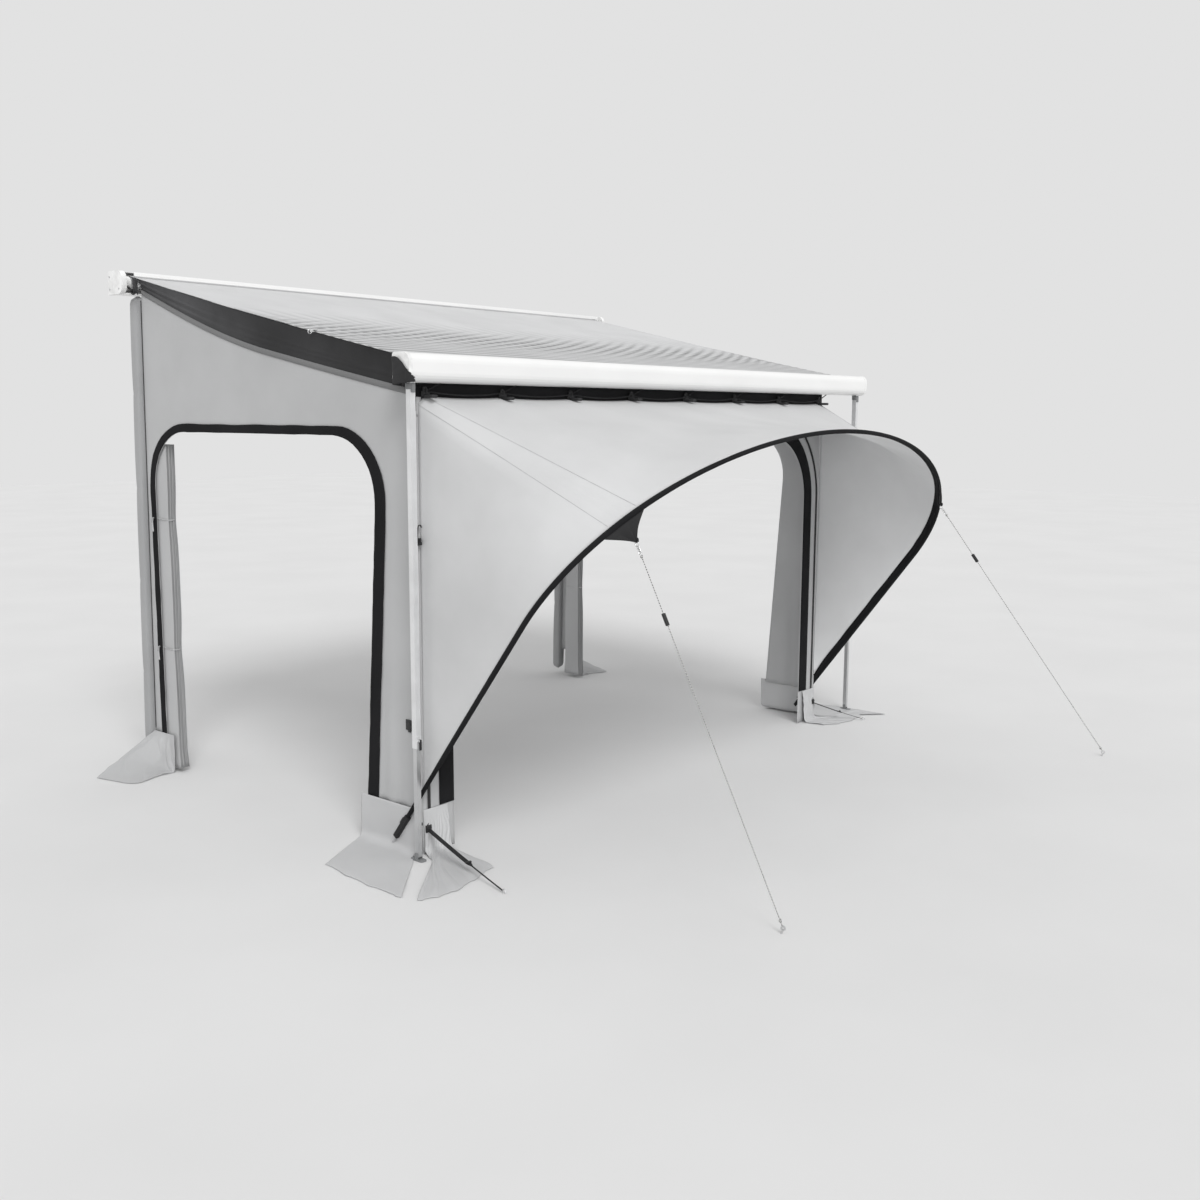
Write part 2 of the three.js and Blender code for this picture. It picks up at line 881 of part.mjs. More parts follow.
function outerLeg(side) {
  const x = legX(side);
  const top = railBottom - clearance;
  const tube = bar(x, legWidth, legDepth, outerLegBottom, top);
  const bore = bar(
    x,
    legWidth - 2 * legWall,
    legDepth - 2 * legWall,
    outerLegBottom - overrun,
    top - legWall,
  );
  const head = bar(
    x,
    legHeadWidth,
    legDepth,
    top - legWall / 2,
    railBottom + railChannelDepth - clearance,
  );
  const collar = box(
    [x - legWidth / 2, x + legWidth / 2],
    [legY - legDepth / 2 - collarWall, legY],
    [outerLegBottom, outerLegBottom + collarHeight],
  );
  const pivot = leverPivot(side);
  const ear = (s) => {
    const inner = leverWidth / 2 + clearance;
    const edges = [x + s * inner, x + s * (inner + leverEarThickness)];
    return box(
      [Math.min(...edges), Math.max(...edges)],
      [pivot.y - leverKnuckleRadius, legY - legDepth / 2],
      [pivot.z - leverKnuckleRadius, pivot.z + leverKnuckleRadius],
    );
  };
  const holes = rod(
    point(x - legWidth, pivot.y, pivot.z),
    point(x + legWidth, pivot.y, pivot.z),
    leverPinRadius + clearance,
  );
  const ears = cut(join(ear(-1), collar, ear(1)), holes);
  return cut(join(tube, head, ears), bore);
}

function innerLeg(side) {
  const x = legX(side);
  const shrink = 2 * (legWall + legSlideClearance);
  const [width, depth] = [legWidth - shrink, legDepth - shrink];
  const tube = bar(x, width, depth, innerLegBottom, innerLegTop);
  const hollow = bar(
    x,
    width - 2 * legWall,
    depth - 2 * legWall,
    footPinHeight + footCheekRadius,
    innerLegTop + overrun,
  );
  const bore = rod(
    point(x - legWidth, legY, footPinHeight),
    point(x + legWidth, legY, footPinHeight),
    footPinRadius + clearance,
  );
  return cut(tube, hollow, bore);
}

function clampLever(side) {
  const pivot = leverPivot(side);
  const half = leverWidth / 2;
  const knuckle = rod(
    point(pivot.x - half, pivot.y, pivot.z),
    point(pivot.x + half, pivot.y, pivot.z),
    leverKnuckleRadius,
  );
  const pin = rod(
    point(pivot.x - half - leverEarThickness, pivot.y, pivot.z),
    point(pivot.x + half + leverEarThickness, pivot.y, pivot.z),
    leverPinRadius,
  );
  const handle = box(
    [pivot.x - half, pivot.x + half],
    [pivot.y - leverKnuckleRadius, pivot.y - leverKnuckleRadius + leverThickness],
    [pivot.z - leverLength, pivot.z],
  );
  return join(knuckle, pin, handle);
}

function foot(side) {
  const x = legX(side);
  const inner = legWidth / 2 - legWall - legSlideClearance + 2 * clearance;
  const plate = prismZ(
    outline([
      [x - footWidth / 2, legY - footLength / 2, footWidth / 3],
      [x + footWidth / 2, legY - footLength / 2, footWidth / 3],
      [x + footWidth / 2, legY + footLength / 2, footWidth / 3],
      [x - footWidth / 2, legY + footLength / 2, footWidth / 3],
    ]),
    0,
    footThickness,
  );
  const cheek = (s) => {
    const edges = [x + s * inner, x + s * (inner + footCheekThickness)];
    const profile = outline([
      [legY - footCheekRadius, footThickness / 2],
      [legY + footCheekRadius, footThickness / 2],
      [legY + footCheekRadius, footPinHeight + footCheekRadius, footCheekRadius / 2],
      [legY - footCheekRadius, footPinHeight + footCheekRadius, footCheekRadius / 2],
    ]);
    return prismX(profile, Math.min(...edges), Math.max(...edges));
  };
  const pin = rod(
    point(x - inner - footCheekThickness / 2, legY, footPinHeight),
    point(x + inner + footCheekThickness / 2, legY, footPinHeight),
    footPinRadius,
  );
  return join(plate, cheek(-1), cheek(1), pin);
}

// Roof cloth and the dark gussets under its side edges

function roofCloth() {
  return sheet(
    (u, v) => {
      const x = ((2 * u - 1) * roofWidth) / 2;
      const y = roofRear.y + (roofFront.y - roofRear.y) * v;
      return point(x, y, roofHeight(x, y));
    },
    8,
    10,
  );
}

function gussetDrop(share) {
  const rise = gussetMiddleHeight - gussetRearHeight;
  const fall = gussetMiddleHeight - gussetFrontHeight;
  const early = Math.sin(Math.PI * Math.min(share, 1 / 2));
  const late = Math.max(0, share - 1 / 2) * 2;
  return gussetRearHeight + rise * early - fall * late;
}

// The gusset's upper and lower edges at a share of its run from the vehicle to the rail

function gussetEdges(side, share) {
  const y = -gussetRearEdge - (gussetFrontEdge - gussetRearEdge) * share;
  const x = wallX(side) + side * gussetFlare;
  const high = roofHeight(x, y) - clothThickness;
  return { y, high, low: high - gussetDrop(share) };
}

function gusset(side) {
  return sheet(
    (u, v) => {
      const { y, high, low } = gussetEdges(side, u);
      const out = gussetFlare * (1 - v) ** 2;
      const x = wallX(side) + side * (out - clothThickness / 2);
      return point(x, y, high + (low - high) * v);
    },
    gussetSteps,
    2,
  );
}

// Side walls, with a wide doorway that is open at the bottom

function doorEdge(inset) {
  const front = doorFrontEdge - inset.front;
  const rear = doorRearEdge + inset.rear;
  const top = doorTop - inset.top;
  const radius = doorCornerRadius - inset.top;
  return {
    front: -front,
    frontBottom: -(front - doorFrontLean),
    rear: -rear,
    top,
    radius,
  };
}

function doorOutline(edge, bottom) {
  return [
    [edge.frontBottom, bottom],
    [edge.front, edge.top, edge.radius],
    [edge.rear, edge.top, edge.radius],
    [edge.rear, bottom],
  ];
}

const doorOuter = doorEdge({ front: 0, rear: 0, top: 0 });
const doorInner = doorEdge({
  front: doorTrimFront,
  rear: doorTrimRear,
  top: doorTrimTop,
});

function sideWall(side) {
  const upper = Array.from({ length: gussetSteps + 1 }, (_, i) => {
    const { y, low } = gussetEdges(side, i / gussetSteps);
    return [y, low - softClearance];
  });
  const [, rearHeight] = upper[0];
  const [, frontHeight] = upper[gussetSteps];
  const corners = [
    [-wallRearEdge, Math.min(rearHeight, cassetteBottom - clothSeat)],
    [cassetteFront, Math.min(rearHeight, cassetteBottom - clothSeat)],
    ...upper,
    [-wallFrontEdge, frontHeight],
    [-wallFrontEdge, wallBottom],
    ...doorOutline(doorInner, wallBottom),
    [-wallRearEdge, wallBottom],
  ];
  const outerFace = wallX(side);
  const innerFace = outerFace - side * clothThickness;
  return prismX(
    outline(corners),
    Math.min(outerFace, innerFace),
    Math.max(outerFace, innerFace),
  );
}

function doorTrim(side) {
  const corners = [
    ...doorOutline(doorOuter, wallBottom),
    ...doorOutline(doorInner, wallBottom).reverse(),
  ];
  const near = wallX(side) + side * softClearance;
  const far = near + side * trimThickness;
  return prismX(outline(corners), Math.min(near, far), Math.max(near, far));
}

// A soft column: each ring is a rounded box whose sides swell and draw in with height

function column(centre, half, [low, high], around, rings, swell) {
  return skin(
    Array.from({ length: rings + 1 }, (_, r) => {
      const share = r / rings;
      const z = low + (high - low) * share;
      return Array.from({ length: around }, (_, i) => {
        const angle = (2 * Math.PI * i) / around;
        const [c, s] = [Math.cos(angle), Math.sin(angle)];
        const square = (Math.abs(c) ** 4 + Math.abs(s) ** 4) ** (-1 / 4);
        const extra = swell(angle, share, z);
        return point(
          centre.x + c * (square * half.x + extra),
          centre.y + s * (square * half.y + extra),
          z,
        );
      });
    }),
  );
}

function rearPad(side) {
  const centre = {
    x: wallX(side) - (side * clothThickness) / 2,
    y: -padRearEdge - padDepth / 2,
  };
  const half = { x: padWidth / 2 - padCrown, y: padDepth / 2 - padCrown };
  const perChannel = 4;
  return column(
    centre,
    half,
    [padBottom, padTop],
    12,
    padChannels * perChannel,
    (_, share) => padCrown * Math.abs(Math.sin(Math.PI * padChannels * share)),
  );
}

function doorCurtain(side) {
  const inner = wallX(side) - side * (clothThickness + softClearance);
  const pleat = curtainPleatDepth;
  const centre = {
    x: inner - (side * curtainWidth) / 2,
    y: -curtainRearEdge - curtainDepth / 2,
  };
  const tieWidth = curtainWidth;
  const squeeze = (z, tie) => Math.exp(-(((z - tie) / (2 * tieWidth)) ** 2));
  return column(
    centre,
    { x: curtainWidth / 2 - pleat, y: curtainDepth / 2 - pleat },
    [curtainBottom, curtainTop],
    4 * curtainPleats,
    16,
    (angle, share, z) => {
      const tied = squeeze(z, curtainUpperTie) + squeeze(z, curtainLowerTie);
      const flare = pleat * Math.max(0, 1 - share / curtainFlareShare);
      return (
        pleat * Math.cos(curtainPleats * angle) * (1 - tied / 2) -
        pleat * tied +
        flare
      );
    },
  );
}

// Mud flaps: upright along the wall, then splayed over the ground with a ragged hem

function ragged(from, to, out) {
  const count = flapRags;
  return Array.from({ length: count + 1 }, (_, i) => {
    const share = i / count;
    const rag = i % 2 ? flapRagDepth : 0;
    return [
      from[0] + (to[0] - from[0]) * share - out[0] * rag,
      from[1] + (to[1] - from[1]) * share - out[1] * rag,
    ];
  });
}

function flap(side, rearEdge, frontEdge, splay) {
  const near = wallX(side) + side * (2 * softClearance + trimThickness);
  const far = near + side * clothThickness;
  const upright = box(
    [Math.min(near, far), Math.max(near, far)],
    [-frontEdge, -rearEdge],
    [0, flapTop],
  );
  const tip = near + side * flapReach;
  const splayed = prismZ(
    outline([
      [near, -rearEdge],
      ...ragged([tip, -rearEdge - splay], [tip, -frontEdge], [side, 0]),
      [near, -frontEdge],
    ]),
    0,
    clothThickness,
  );
  return join(upright, splayed);
}

// Front wall, its dark trim and the dark band under the rail

function frontDoor(inset, bottom) {
  const half = frontDoorHalfWidth + inset;
  const top = frontDoorTop + inset;
  const radius = frontDoorCornerRadius + inset;
  return [
    [tentShift - half, bottom],
    [tentShift - half, top, radius],
    [tentShift + half, top, radius],
    [tentShift + half, bottom],
  ];
}

function frontFlap(name) {
  const side = SIDES[name];
  const outer = tentShift + side * frontHalfWidth;
  const inner = tentShift + side * (frontDoorHalfWidth + frontTrimWidth / 2);
  const rear = frontWallY - clothThickness / 2;
  const far = outer + side * frontFlapSideReach[name];
  const tip = rear - frontFlapForwardReach[name];
  return prismZ(
    outline([
      [inner, rear + clothThickness],
      [outer, rear + clothThickness],
      [outer, rear - frontFlapFootGap],
      [far, rear - frontFlapFootGap - flapRagDepth],
      ...ragged([far, tip], [inner, tip], [0, -1]),
    ]),
    0,
    clothThickness,
  );
}

function frontWall() {
  const [left, right] = [tentShift - frontHalfWidth, tentShift + frontHalfWidth];
  const panel = prismY(
    outline([
      [left, 0],
      [left, frontBandBottom],
      [right, frontBandBottom],
      [right, 0],
      ...frontDoor(0, 0).reverse(),
    ]),
    frontWallY - clothThickness / 2,
    frontWallY + clothThickness / 2,
  );
  return join(panel, frontFlap("left"), frontFlap("right"));
}

function frontTrim() {
  const face = frontWallY - clothThickness / 2 - softClearance;
  return prismY(
    outline([
      ...frontDoor(frontTrimWidth, flapTop),
      ...frontDoor(clothThickness, flapTop).reverse(),
    ]),
    face - trimThickness,
    face,
  );
}

function frontBand() {
  const [left, right] = [tentShift - frontHalfWidth, tentShift + frontHalfWidth];
  const count = 4 * frontHooks;
  const lower = Array.from({ length: count + 1 }, (_, i) => {
    const lift = Math.abs(Math.sin((Math.PI * i) / 4));
    return [
      left + ((right - left) * i) / count,
      frontBandBottom + softClearance + frontBandScallop * lift,
    ];
  });
  return prismY(
    outline([[right, railBottom - softClearance], [left, railBottom - softClearance], ...lower]),
    frontWallY - clothThickness / 2,
    frontWallY + clothThickness / 2,
  );
}

// Hood: its pole leans out from the room's feet, straight up each side and elliptical over the top

function archPoint(share) {
  const sideLength = archSpring - archFootHeight;
  const curveLength = Math.PI * Math.sqrt((archHalfWidth ** 2 + archRise ** 2) / 2);
  const run = share * (2 * sideLength + curveLength);
  const leaning = (x, z) => {
    const crown = Math.max(0, (z - archSpring) / archRise);
    const y =
      -archFootSetback - archLeanShare * z + archCrownDrop * crown ** 2;
    return point(tentShift + x, y, z);
  };
  if (run < sideLength) return leaning(-archHalfWidth, archFootHeight + run);
  const beyond = run - sideLength - curveLength;
  if (beyond > 0) return leaning(archHalfWidth, archSpring - beyond);
  const angle = (Math.PI * (run - sideLength)) / curveLength;
  return leaning(
    -archHalfWidth * Math.cos(angle),
    archSpring + archRise * Math.sin(angle),
  );
}

// The share of the pole at which it stands at the given height, on its left side

function archShareAt(test) {
  let [low, high] = [0, 1 / 2];
  while (high - low > 1e-7) {
    const middle = (low + high) / 2;
    if (test(archPoint(middle))) high = middle;
    else low = middle;
  }
  return low;
}

const archShareInset = (inset) =>
  archShareAt((p) => p.x > tentShift - archHalfWidth + inset);

class ArchCurve extends THREE.Curve {
  constructor(from, to) {
    super();
    this.from = from;
    this.to = to;
  }
  getPoint(t, target = new THREE.Vector3()) {
    return target.copy(archPoint(this.from + (this.to - this.from) * t));
  }
  // Pole and sleeve take their sections at the same places
  getPointAt(t, target) {
    return this.getPoint(t, target);
  }
  getTangentAt(t, target) {
    return this.getTangent(t, target);
  }
}

const poleSteps = 48;
const sleeveSkip = Math.ceil(archShareAt((p) => p.z > sleeveStart) * poleSteps);
const sleeveShare = sleeveSkip / poleSteps;

function along(shape, curve, steps) {
  return new THREE.ExtrudeGeometry(shape, {
    steps,
    extrudePath: curve,
    bevelEnabled: false,
  });
}

function archPole() {
  return along(
    new THREE.Shape(circle(poleRadius, 8)),
    new ArchCurve(0, 1),
    poleSteps,
  );
}

function hoodSleeve() {
  return along(
    ringShape(sleeveRadius, sleeveBoreRadius, 8),
    new ArchCurve(sleeveShare, 1 - sleeveShare),
    poleSteps - 2 * sleeveSkip,
  );
}

const hoodRearY = frontWallY - clothThickness / 2 - hoodRearGap;
const seamOuterShare = archShareInset(hoodSeamOuter);
const seamInnerShare = archShareInset(hoodSeamInner);
const hoodFootShare = archShareAt((p) => p.z > hoodFootHeight);

// The hood's rear edge: up the wall's side, over a short corner and across under the rail

function hoodRear(part, t) {
  const side = hoodHalfWidth + hoodCornerDrop;
  const corner = hoodTopHeight - hoodCornerDrop;
  if (part === "wing")
    return point(
      tentShift - side,
      hoodRearY,
      hoodFootHeight + (corner - hoodFootHeight) * t,
    );
  if (part === "corner")
    return point(
      tentShift - side + hoodCornerDrop * t,
      hoodRearY,
      corner + hoodCornerDrop * t,
    );
  return point(tentShift - hoodHalfWidth * (1 - t), hoodRearY, hoodTopHeight);
}

const archNudge = 1e-3;

// The place next to the sleeve where a cloth that comes from elsewhere stops

function besideSleeve(share, from) {
  const pole = archPoint(share);
  const run = from.clone().sub(pole);
  const line = archPoint(share + archNudge).sub(archPoint(share - archNudge));
  const square = Math.sin(run.angleTo(line));
  const room = (sleeveRadius + clothThickness / 2) / square;
  return pole.addScaledVector(run.normalize(), room);
}

// Half the hood from the left foot to the middle, then mirrored, so that both sides match

function hoodPoint(u, v) {
  const mirrored = u > 1 / 2;
  const w = 2 * (mirrored ? 1 - u : u);
  const wingEnd = 0.5;
  const cornerEnd = 0.6;
  const span = (from, to, t) => from + (to - from) * t;
  let rear, share, bulge;
  if (w < wingEnd) {
    const t = w / wingEnd;
    rear = hoodRear("wing", t);
    share = span(hoodFootShare, seamOuterShare, t);
    bulge = point(-hoodSag / 2, hoodSag / 3, 0);
  } else if (w < cornerEnd) {
    const t = (w - wingEnd) / (cornerEnd - wingEnd);
    rear = hoodRear("corner", t);
    share = span(seamOuterShare, seamInnerShare, t);
    bulge = point(0, 0, 0);
  } else {
    const t = (w - cornerEnd) / (1 - cornerEnd);
    rear = hoodRear("top", t);
    share = span(seamInnerShare, 1 / 2, t);
    bulge = point(0, 0, -hoodSag * Math.sin((Math.PI / 2) * t));
  }
  const sag = Math.sin(Math.PI * v);
  const result = rear
    .clone()
    .lerp(besideSleeve(share, rear), v)
    .addScaledVector(bulge, w < wingEnd ? sag * (w / wingEnd) : sag);
  if (mirrored) result.x = 2 * tentShift - result.x;
  return result;
}

function hood() {
  return sheet(hoodPoint, 40, 5);
}

// Guys: a cloth patch with a ring, the rope, its slider and its peg

const patchShares = patchInsets.map(archShareInset);

const guyTop = (side) => {
  const { y, z } = archPoint((patchShares[0] + patchShares[1]) / 2);
  const x = tentShift + side * (archHalfWidth - guyAnchorInset);
  return point(x, y - guyAnchorForward, z - guyAnchorDrop);
};

const guyPeg = (name) => {
  const [x, y] = guyPegs[name];
  return point(tentShift + x, y, 0);
};

function guyPatch(name) {
  const side = SIDES[name];
  const leftTip = guyTop(-1);
  const cloth = sheet(
    (u, v) => {
      const end = leftTip.clone().add(point(((u - 1 / 2) * ringOuterRadius) / 2, 0, 0));
      const share = patchShares[0] + (patchShares[1] - patchShares[0]) * u;
      const place = besideSleeve(share, end).lerp(end, v);
      if (side > 0) place.x = 2 * tentShift - place.x;
      return place;
    },
    4,
    3,
  );
  const tip = guyTop(side);
  const ring = prismX(
    ringShape(ringOuterRadius, ringInnerRadius, pinSides),
    -ringThickness / 2,
    ringThickness / 2,
  ).translate(tip.x, tip.y, tip.z - ringInnerRadius);
  return join(cloth, ring);
}

const ropeStart = (name) => {
  const top = guyTop(SIDES[name]).sub(point(0, 0, ringInnerRadius));
  const down = guyPeg(name).sub(top).normalize();
  return top.addScaledVector(down, ringOuterRadius + softClearance);
};

const ropeEnd = (name) => {
  const peg = guyPeg(name).add(point(0, 0, pegHead));
  const up = ropeStart(name).sub(peg).normalize();
  return peg.addScaledVector(up, pegEyeRadius + softClearance);
};

function guyRope(name) {
  const line = new THREE.LineCurve3(ropeStart(name), ropeEnd(name));
  return along(new THREE.Shape(circle(guyDiameter / 2, 8)), line, 12);
}

function guySlider(name) {
  const [start, end] = [ropeStart(name), ropeEnd(name)];
  const down = end.clone().sub(start).normalize();
  const centre = start.clone().lerp(end, sliderAlongShare);
  const turn = new THREE.Quaternion().setFromUnitVectors(Z, down);
  const plate = prismZ(
    outline([
      [-sliderWidth / 2, -sliderThickness / 2],
      [sliderWidth / 2, -sliderThickness / 2],
      [sliderWidth / 2, sliderThickness / 2],
      [-sliderWidth / 2, sliderThickness / 2],
    ]),
    -sliderLength / 2,
    sliderLength / 2,
  );
  const bore = prismZ(
    new THREE.Shape(circle(guyDiameter / 2 + softClearance, pinSides)),
    -sliderLength,
    sliderLength,
  );
  return cut(plate, bore)
    .applyQuaternion(turn)
    .translate(...centre.toArray());
}

function peg(place, pull) {
  const head = place.clone().add(point(0, 0, pegHead));
  const lean = pull.clone().sub(head).setZ(0).normalize();
  const toe = place
    .clone()
    .addScaledVector(lean, pegDepth / 3)
    .sub(point(0, 0, pegDepth));
  const turn = Math.atan2(lean.y, lean.x);
  const eye = prismY(
    ringShape(pegEyeRadius, pegEyeRadius - pegRadius * (1 + 1 / 3), pinSides),
    -pegRadius,
    pegRadius,
  )
    .rotateZ(turn)
    .translate(...head.toArray());
  const down = toe.clone().sub(head).normalize();
  const neck = head.clone().addScaledVector(down, pegEyeRadius - pegRadius / 2);
  return join(eye, rod(neck, toe, pegRadius, 8));
}

// Corner straps, from the front wall's feet to their own pegs

const strapTop = (side) =>
  point(
    tentShift + side * (frontHalfWidth - strapInset),
    frontWallY - clothThickness / 2 - clothSeat - strapBuckleDepth,
    strapHeight,
  );

function strap(name) {
  const side = SIDES[name];
  const top = strapTop(side);
  const [x, y] = strapPegs[name];
  const ground = point(tentShift + x, y, 0);
  const buckle = box(
    [top.x - strapWidth / 2, top.x + strapWidth / 2],
    [top.y - strapThickness, top.y + strapBuckleDepth],
    [top.z - strapWidth / 2, top.z + strapWidth],
  );
  const run = ground.clone().sub(top);
  const belt = prismZ(
    outline([
      [-strapWidth / 2, -strapThickness / 2],
      [strapWidth / 2, -strapThickness / 2],
      [strapWidth / 2, strapThickness / 2],
      [-strapWidth / 2, strapThickness / 2],
    ]),
    0,
    run.length(),
  );
  const frame = new THREE.Matrix4();
  const forward = run.clone().normalize();
  const across = forward.clone().cross(Z).normalize();
  frame.makeBasis(across, forward.clone().cross(across), forward);
  belt.applyMatrix4(frame).translate(top.x, top.y, top.z);
  const lowered = ground.clone().sub(point(0, 0, clothThickness));
  return join(buckle, belt, peg(lowered, top).translate(0, 0, -pegEyeRadius));
}

// Assembly

add(tent, "cassette_housing", cassetteHousing(), white, 0.45);
add(tent, "roller_tube", rollerTube(), aluminium, 0.4, 0.8);
add(tent, "winding_gearbox", gearbox(), greyPlastic, 0.6);
add(tent, "crank_eye", crankEye(), blackPlastic, 0.5);
add(tent, "roof_cloth", roofCloth(), roofGrey, 0.85);
add(tent, "lead_rail", leadRail(), white, 0.35);
add(tent, "front_wall", frontWall(), wallGrey, 0.85);
add(tent, "front_door_trim", frontTrim(), darkCloth, 0.9);
add(tent, "front_band", frontBand(), darkCloth, 0.9);
add(tent, "hood", hood(), roofGrey, 0.85);
add(tent, "hood_sleeve", hoodSleeve(), darkCloth, 0.9);
add(tent, "hood_pole", archPole(), steel, 0.4, 0.8);

const bracketPlaces = {
  left: -(halfLength - bracketInset),
  middle: 0,
  right: halfLength - bracketInset,
};
for (const [name, x] of Object.entries(bracketPlaces))
  add(tent, `wall_bracket_${name}`, wallBracket(x), aluminium, 0.45, 0.8);

for (const [name, side] of Object.entries(SIDES)) {
  add(tent, `cassette_end_cap_${name}`, endCap(side), white, 0.45);
  add(tent, `shoulder_bracket_${name}`, shoulderBracket(side), aluminium, 0.45, 0.8);
  add(armPlane, `upper_arm_${name}`, upperArm(side), aluminium, 0.4, 0.8);
  add(armPlane, `forearm_${name}`, forearm(side), aluminium, 0.4, 0.8);
  add(tent, `wrist_bracket_${name}`, wristBracket(side), aluminium, 0.45, 0.8);
  add(tent, `rail_end_cap_${name}`, railCap(side), white, 0.45);
  add(tent, `outer_leg_${name}`, outerLeg(side), aluminium, 0.4, 0.8);
  add(tent, `inner_leg_${name}`, innerLeg(side), steel, 0.35, 0.8);
  add(tent, `leg_clamp_lever_${name}`, clampLever(side), blackPlastic, 0.5);
  add(tent, `foot_${name}`, foot(side), greyPlastic, 0.6);
  add(tent, `gusset_${name}`, gusset(side), darkCloth, 0.9);
  add(tent, `side_wall_${name}`, sideWall(side), wallGrey, 0.85);
  add(tent, `door_trim_${name}`, doorTrim(side), darkCloth, 0.9);
  add(tent, `rear_pad_${name}`, rearPad(side), padGrey, 0.9);
  add(tent, `door_curtain_${name}`, doorCurtain(side), wallGrey, 0.85);
  const sideFlap = flap(side, sideFlapRearEdge, sideFlapFrontEdge, 0);
  add(tent, `side_flap_${name}`, sideFlap, wallGrey, 0.9);
  const rearFlap = flap(side, rearFlapRearEdge, rearFlapFrontEdge, rearFlapSplay);
  add(tent, `rear_flap_${name}`, rearFlap, wallGrey, 0.9);
  add(tent, `guy_patch_${name}`, guyPatch(name), darkCloth, 0.9);
  add(tent, `guy_rope_${name}`, guyRope(name), ropeGrey, 0.8);
  add(tent, `guy_slider_${name}`, guySlider(name), blackPlastic, 0.5);
  const guyPegSolid = peg(guyPeg(name), ropeStart(name));
  add(tent, `guy_peg_${name}`, guyPegSolid, steel, 0.4, 0.8);
  add(tent, `corner_strap_${name}`, strap(name), darkCloth, 0.8);
}

// The origin is the middle of the middle wall bracket's back face
const mountHeight = cassetteTop - cassetteHeight / 2;
tent.position.set(0, 0, -mountHeight);
const part = new THREE.Group();
part.add(tent);

export default part;
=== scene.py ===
"""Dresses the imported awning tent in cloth, cords, fittings and finishes, and lights it."""

from math import copysign, cos, exp, pi, radians, sin, sqrt, tan

import bpy
from mathutils import Matrix, Quaternion, Vector, noise

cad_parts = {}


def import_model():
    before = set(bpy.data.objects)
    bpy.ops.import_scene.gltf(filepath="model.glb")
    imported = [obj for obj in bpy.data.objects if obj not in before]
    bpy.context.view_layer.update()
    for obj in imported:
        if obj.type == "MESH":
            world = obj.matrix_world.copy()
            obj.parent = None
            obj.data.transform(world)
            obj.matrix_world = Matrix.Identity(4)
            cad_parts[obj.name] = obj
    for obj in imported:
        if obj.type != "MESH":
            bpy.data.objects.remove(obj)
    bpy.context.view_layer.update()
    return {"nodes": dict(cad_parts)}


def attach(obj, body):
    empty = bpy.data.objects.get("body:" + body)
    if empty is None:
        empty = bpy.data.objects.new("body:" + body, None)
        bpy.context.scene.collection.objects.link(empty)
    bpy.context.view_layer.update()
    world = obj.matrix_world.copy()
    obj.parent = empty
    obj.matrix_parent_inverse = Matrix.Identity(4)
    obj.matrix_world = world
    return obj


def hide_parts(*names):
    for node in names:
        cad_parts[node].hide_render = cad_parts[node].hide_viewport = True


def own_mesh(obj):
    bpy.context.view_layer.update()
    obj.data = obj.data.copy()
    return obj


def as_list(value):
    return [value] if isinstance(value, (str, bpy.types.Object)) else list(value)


bl_info = {
    "name": "Awning tent",
    "version": (1, 0, 0),
    "blender": (4, 5, 0),
    "location": "3D View > Sidebar > Awning tent",
    "description": "Cloth, cords, fittings and finishes for an awning tent",
    "category": "Object",
}

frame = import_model()

SIDES = {"left": -1, "right": 1}
CASSETTE, FRONT = "cassette", "rail_and_front"
UP = Vector((0, 0, 1))

# Places in the row frame, in metres, as the CAD has them
GROUND = -2.8365
ROOM_X = -0.1625
WALL_HALF = 1.832
FRONT_HALF = 1.827
FRONT_WALL_Y = -2.460
WALL_REAR_Y = -0.0865
WALL_FRONT_Y = -2.438
REAR_TOP_Y = -0.150  # the rear edge leans away from the vehicle towards its top
WALL_FOOT = 0.205
CASSETTE_FRONT_Y = -0.1583
CASSETTE_BOTTOM = GROUND + 2.774
CASSETTE_HALF = 2.110
OPENING_Y = -0.1535
ROOF_HALF = 2.025
ROOF_REAR = (-0.0883, GROUND + 2.880)
ROOF_FRONT = (-2.4445, GROUND + 2.370)
ROOF_RUN = 2.411
RAIL_TOP = GROUND + 2.382
RAIL_BOTTOM = GROUND + 2.251
RAIL_HALF = 2.110
LEG_X, LEG_Y = 2.055, -2.500
GUSSET_REAR_Y, GUSSET_FRONT_Y = -0.168, -2.430
BAND_BOTTOM = GROUND + 2.120

# How far the lead rail comes in, and the ways that cloth would draw in with it; no piece is moved along
# them
FOLD_UP = (0.0, 0.98592, 0.167215)
BACK = (0.0, 1.0, 0.0)


def world(x, y, height):
    """A place given by its height above the ground."""
    return Vector((x, y, GROUND + height))


def room(x, y, height, k=1):
    """A place given from the middle of the room, mirrored where k is -1."""
    return world(ROOM_X + k * x, y, height)


def mix(a, b, share):
    return a + (b - a) * share


def clamp(value, low=0.0, high=1.0):
    return max(low, min(high, value))


def ease(value):
    value = clamp(value)
    return value * value * (3 - 2 * value)


def bell(value):
    """1 at 0, falling off smoothly on both sides."""
    return exp(-(value**2))


def ripple(x, y, z, seed=0.0):
    """Smooth noise from -1 to 1."""
    return noise.noise(Vector((x + seed, y - seed, z + 2 * seed)))


# Meshes


def alone(obj):
    bpy.ops.object.select_all(action="DESELECT")
    obj.select_set(True)
    bpy.context.view_layer.objects.active = obj


def mesh_object(name, points, faces, places):
    data = bpy.data.meshes.new(name)
    data.from_pydata([tuple(p) for p in points], [], faces)
    layer = data.uv_layers.new(name="cloth")
    for loop in data.loops:
        layer.data[loop.index].uv = places[loop.vertex_index]
    data.validate()
    data.shade_smooth()
    obj = bpy.data.objects.new(name, data)
    bpy.context.scene.collection.objects.link(obj)
    return obj


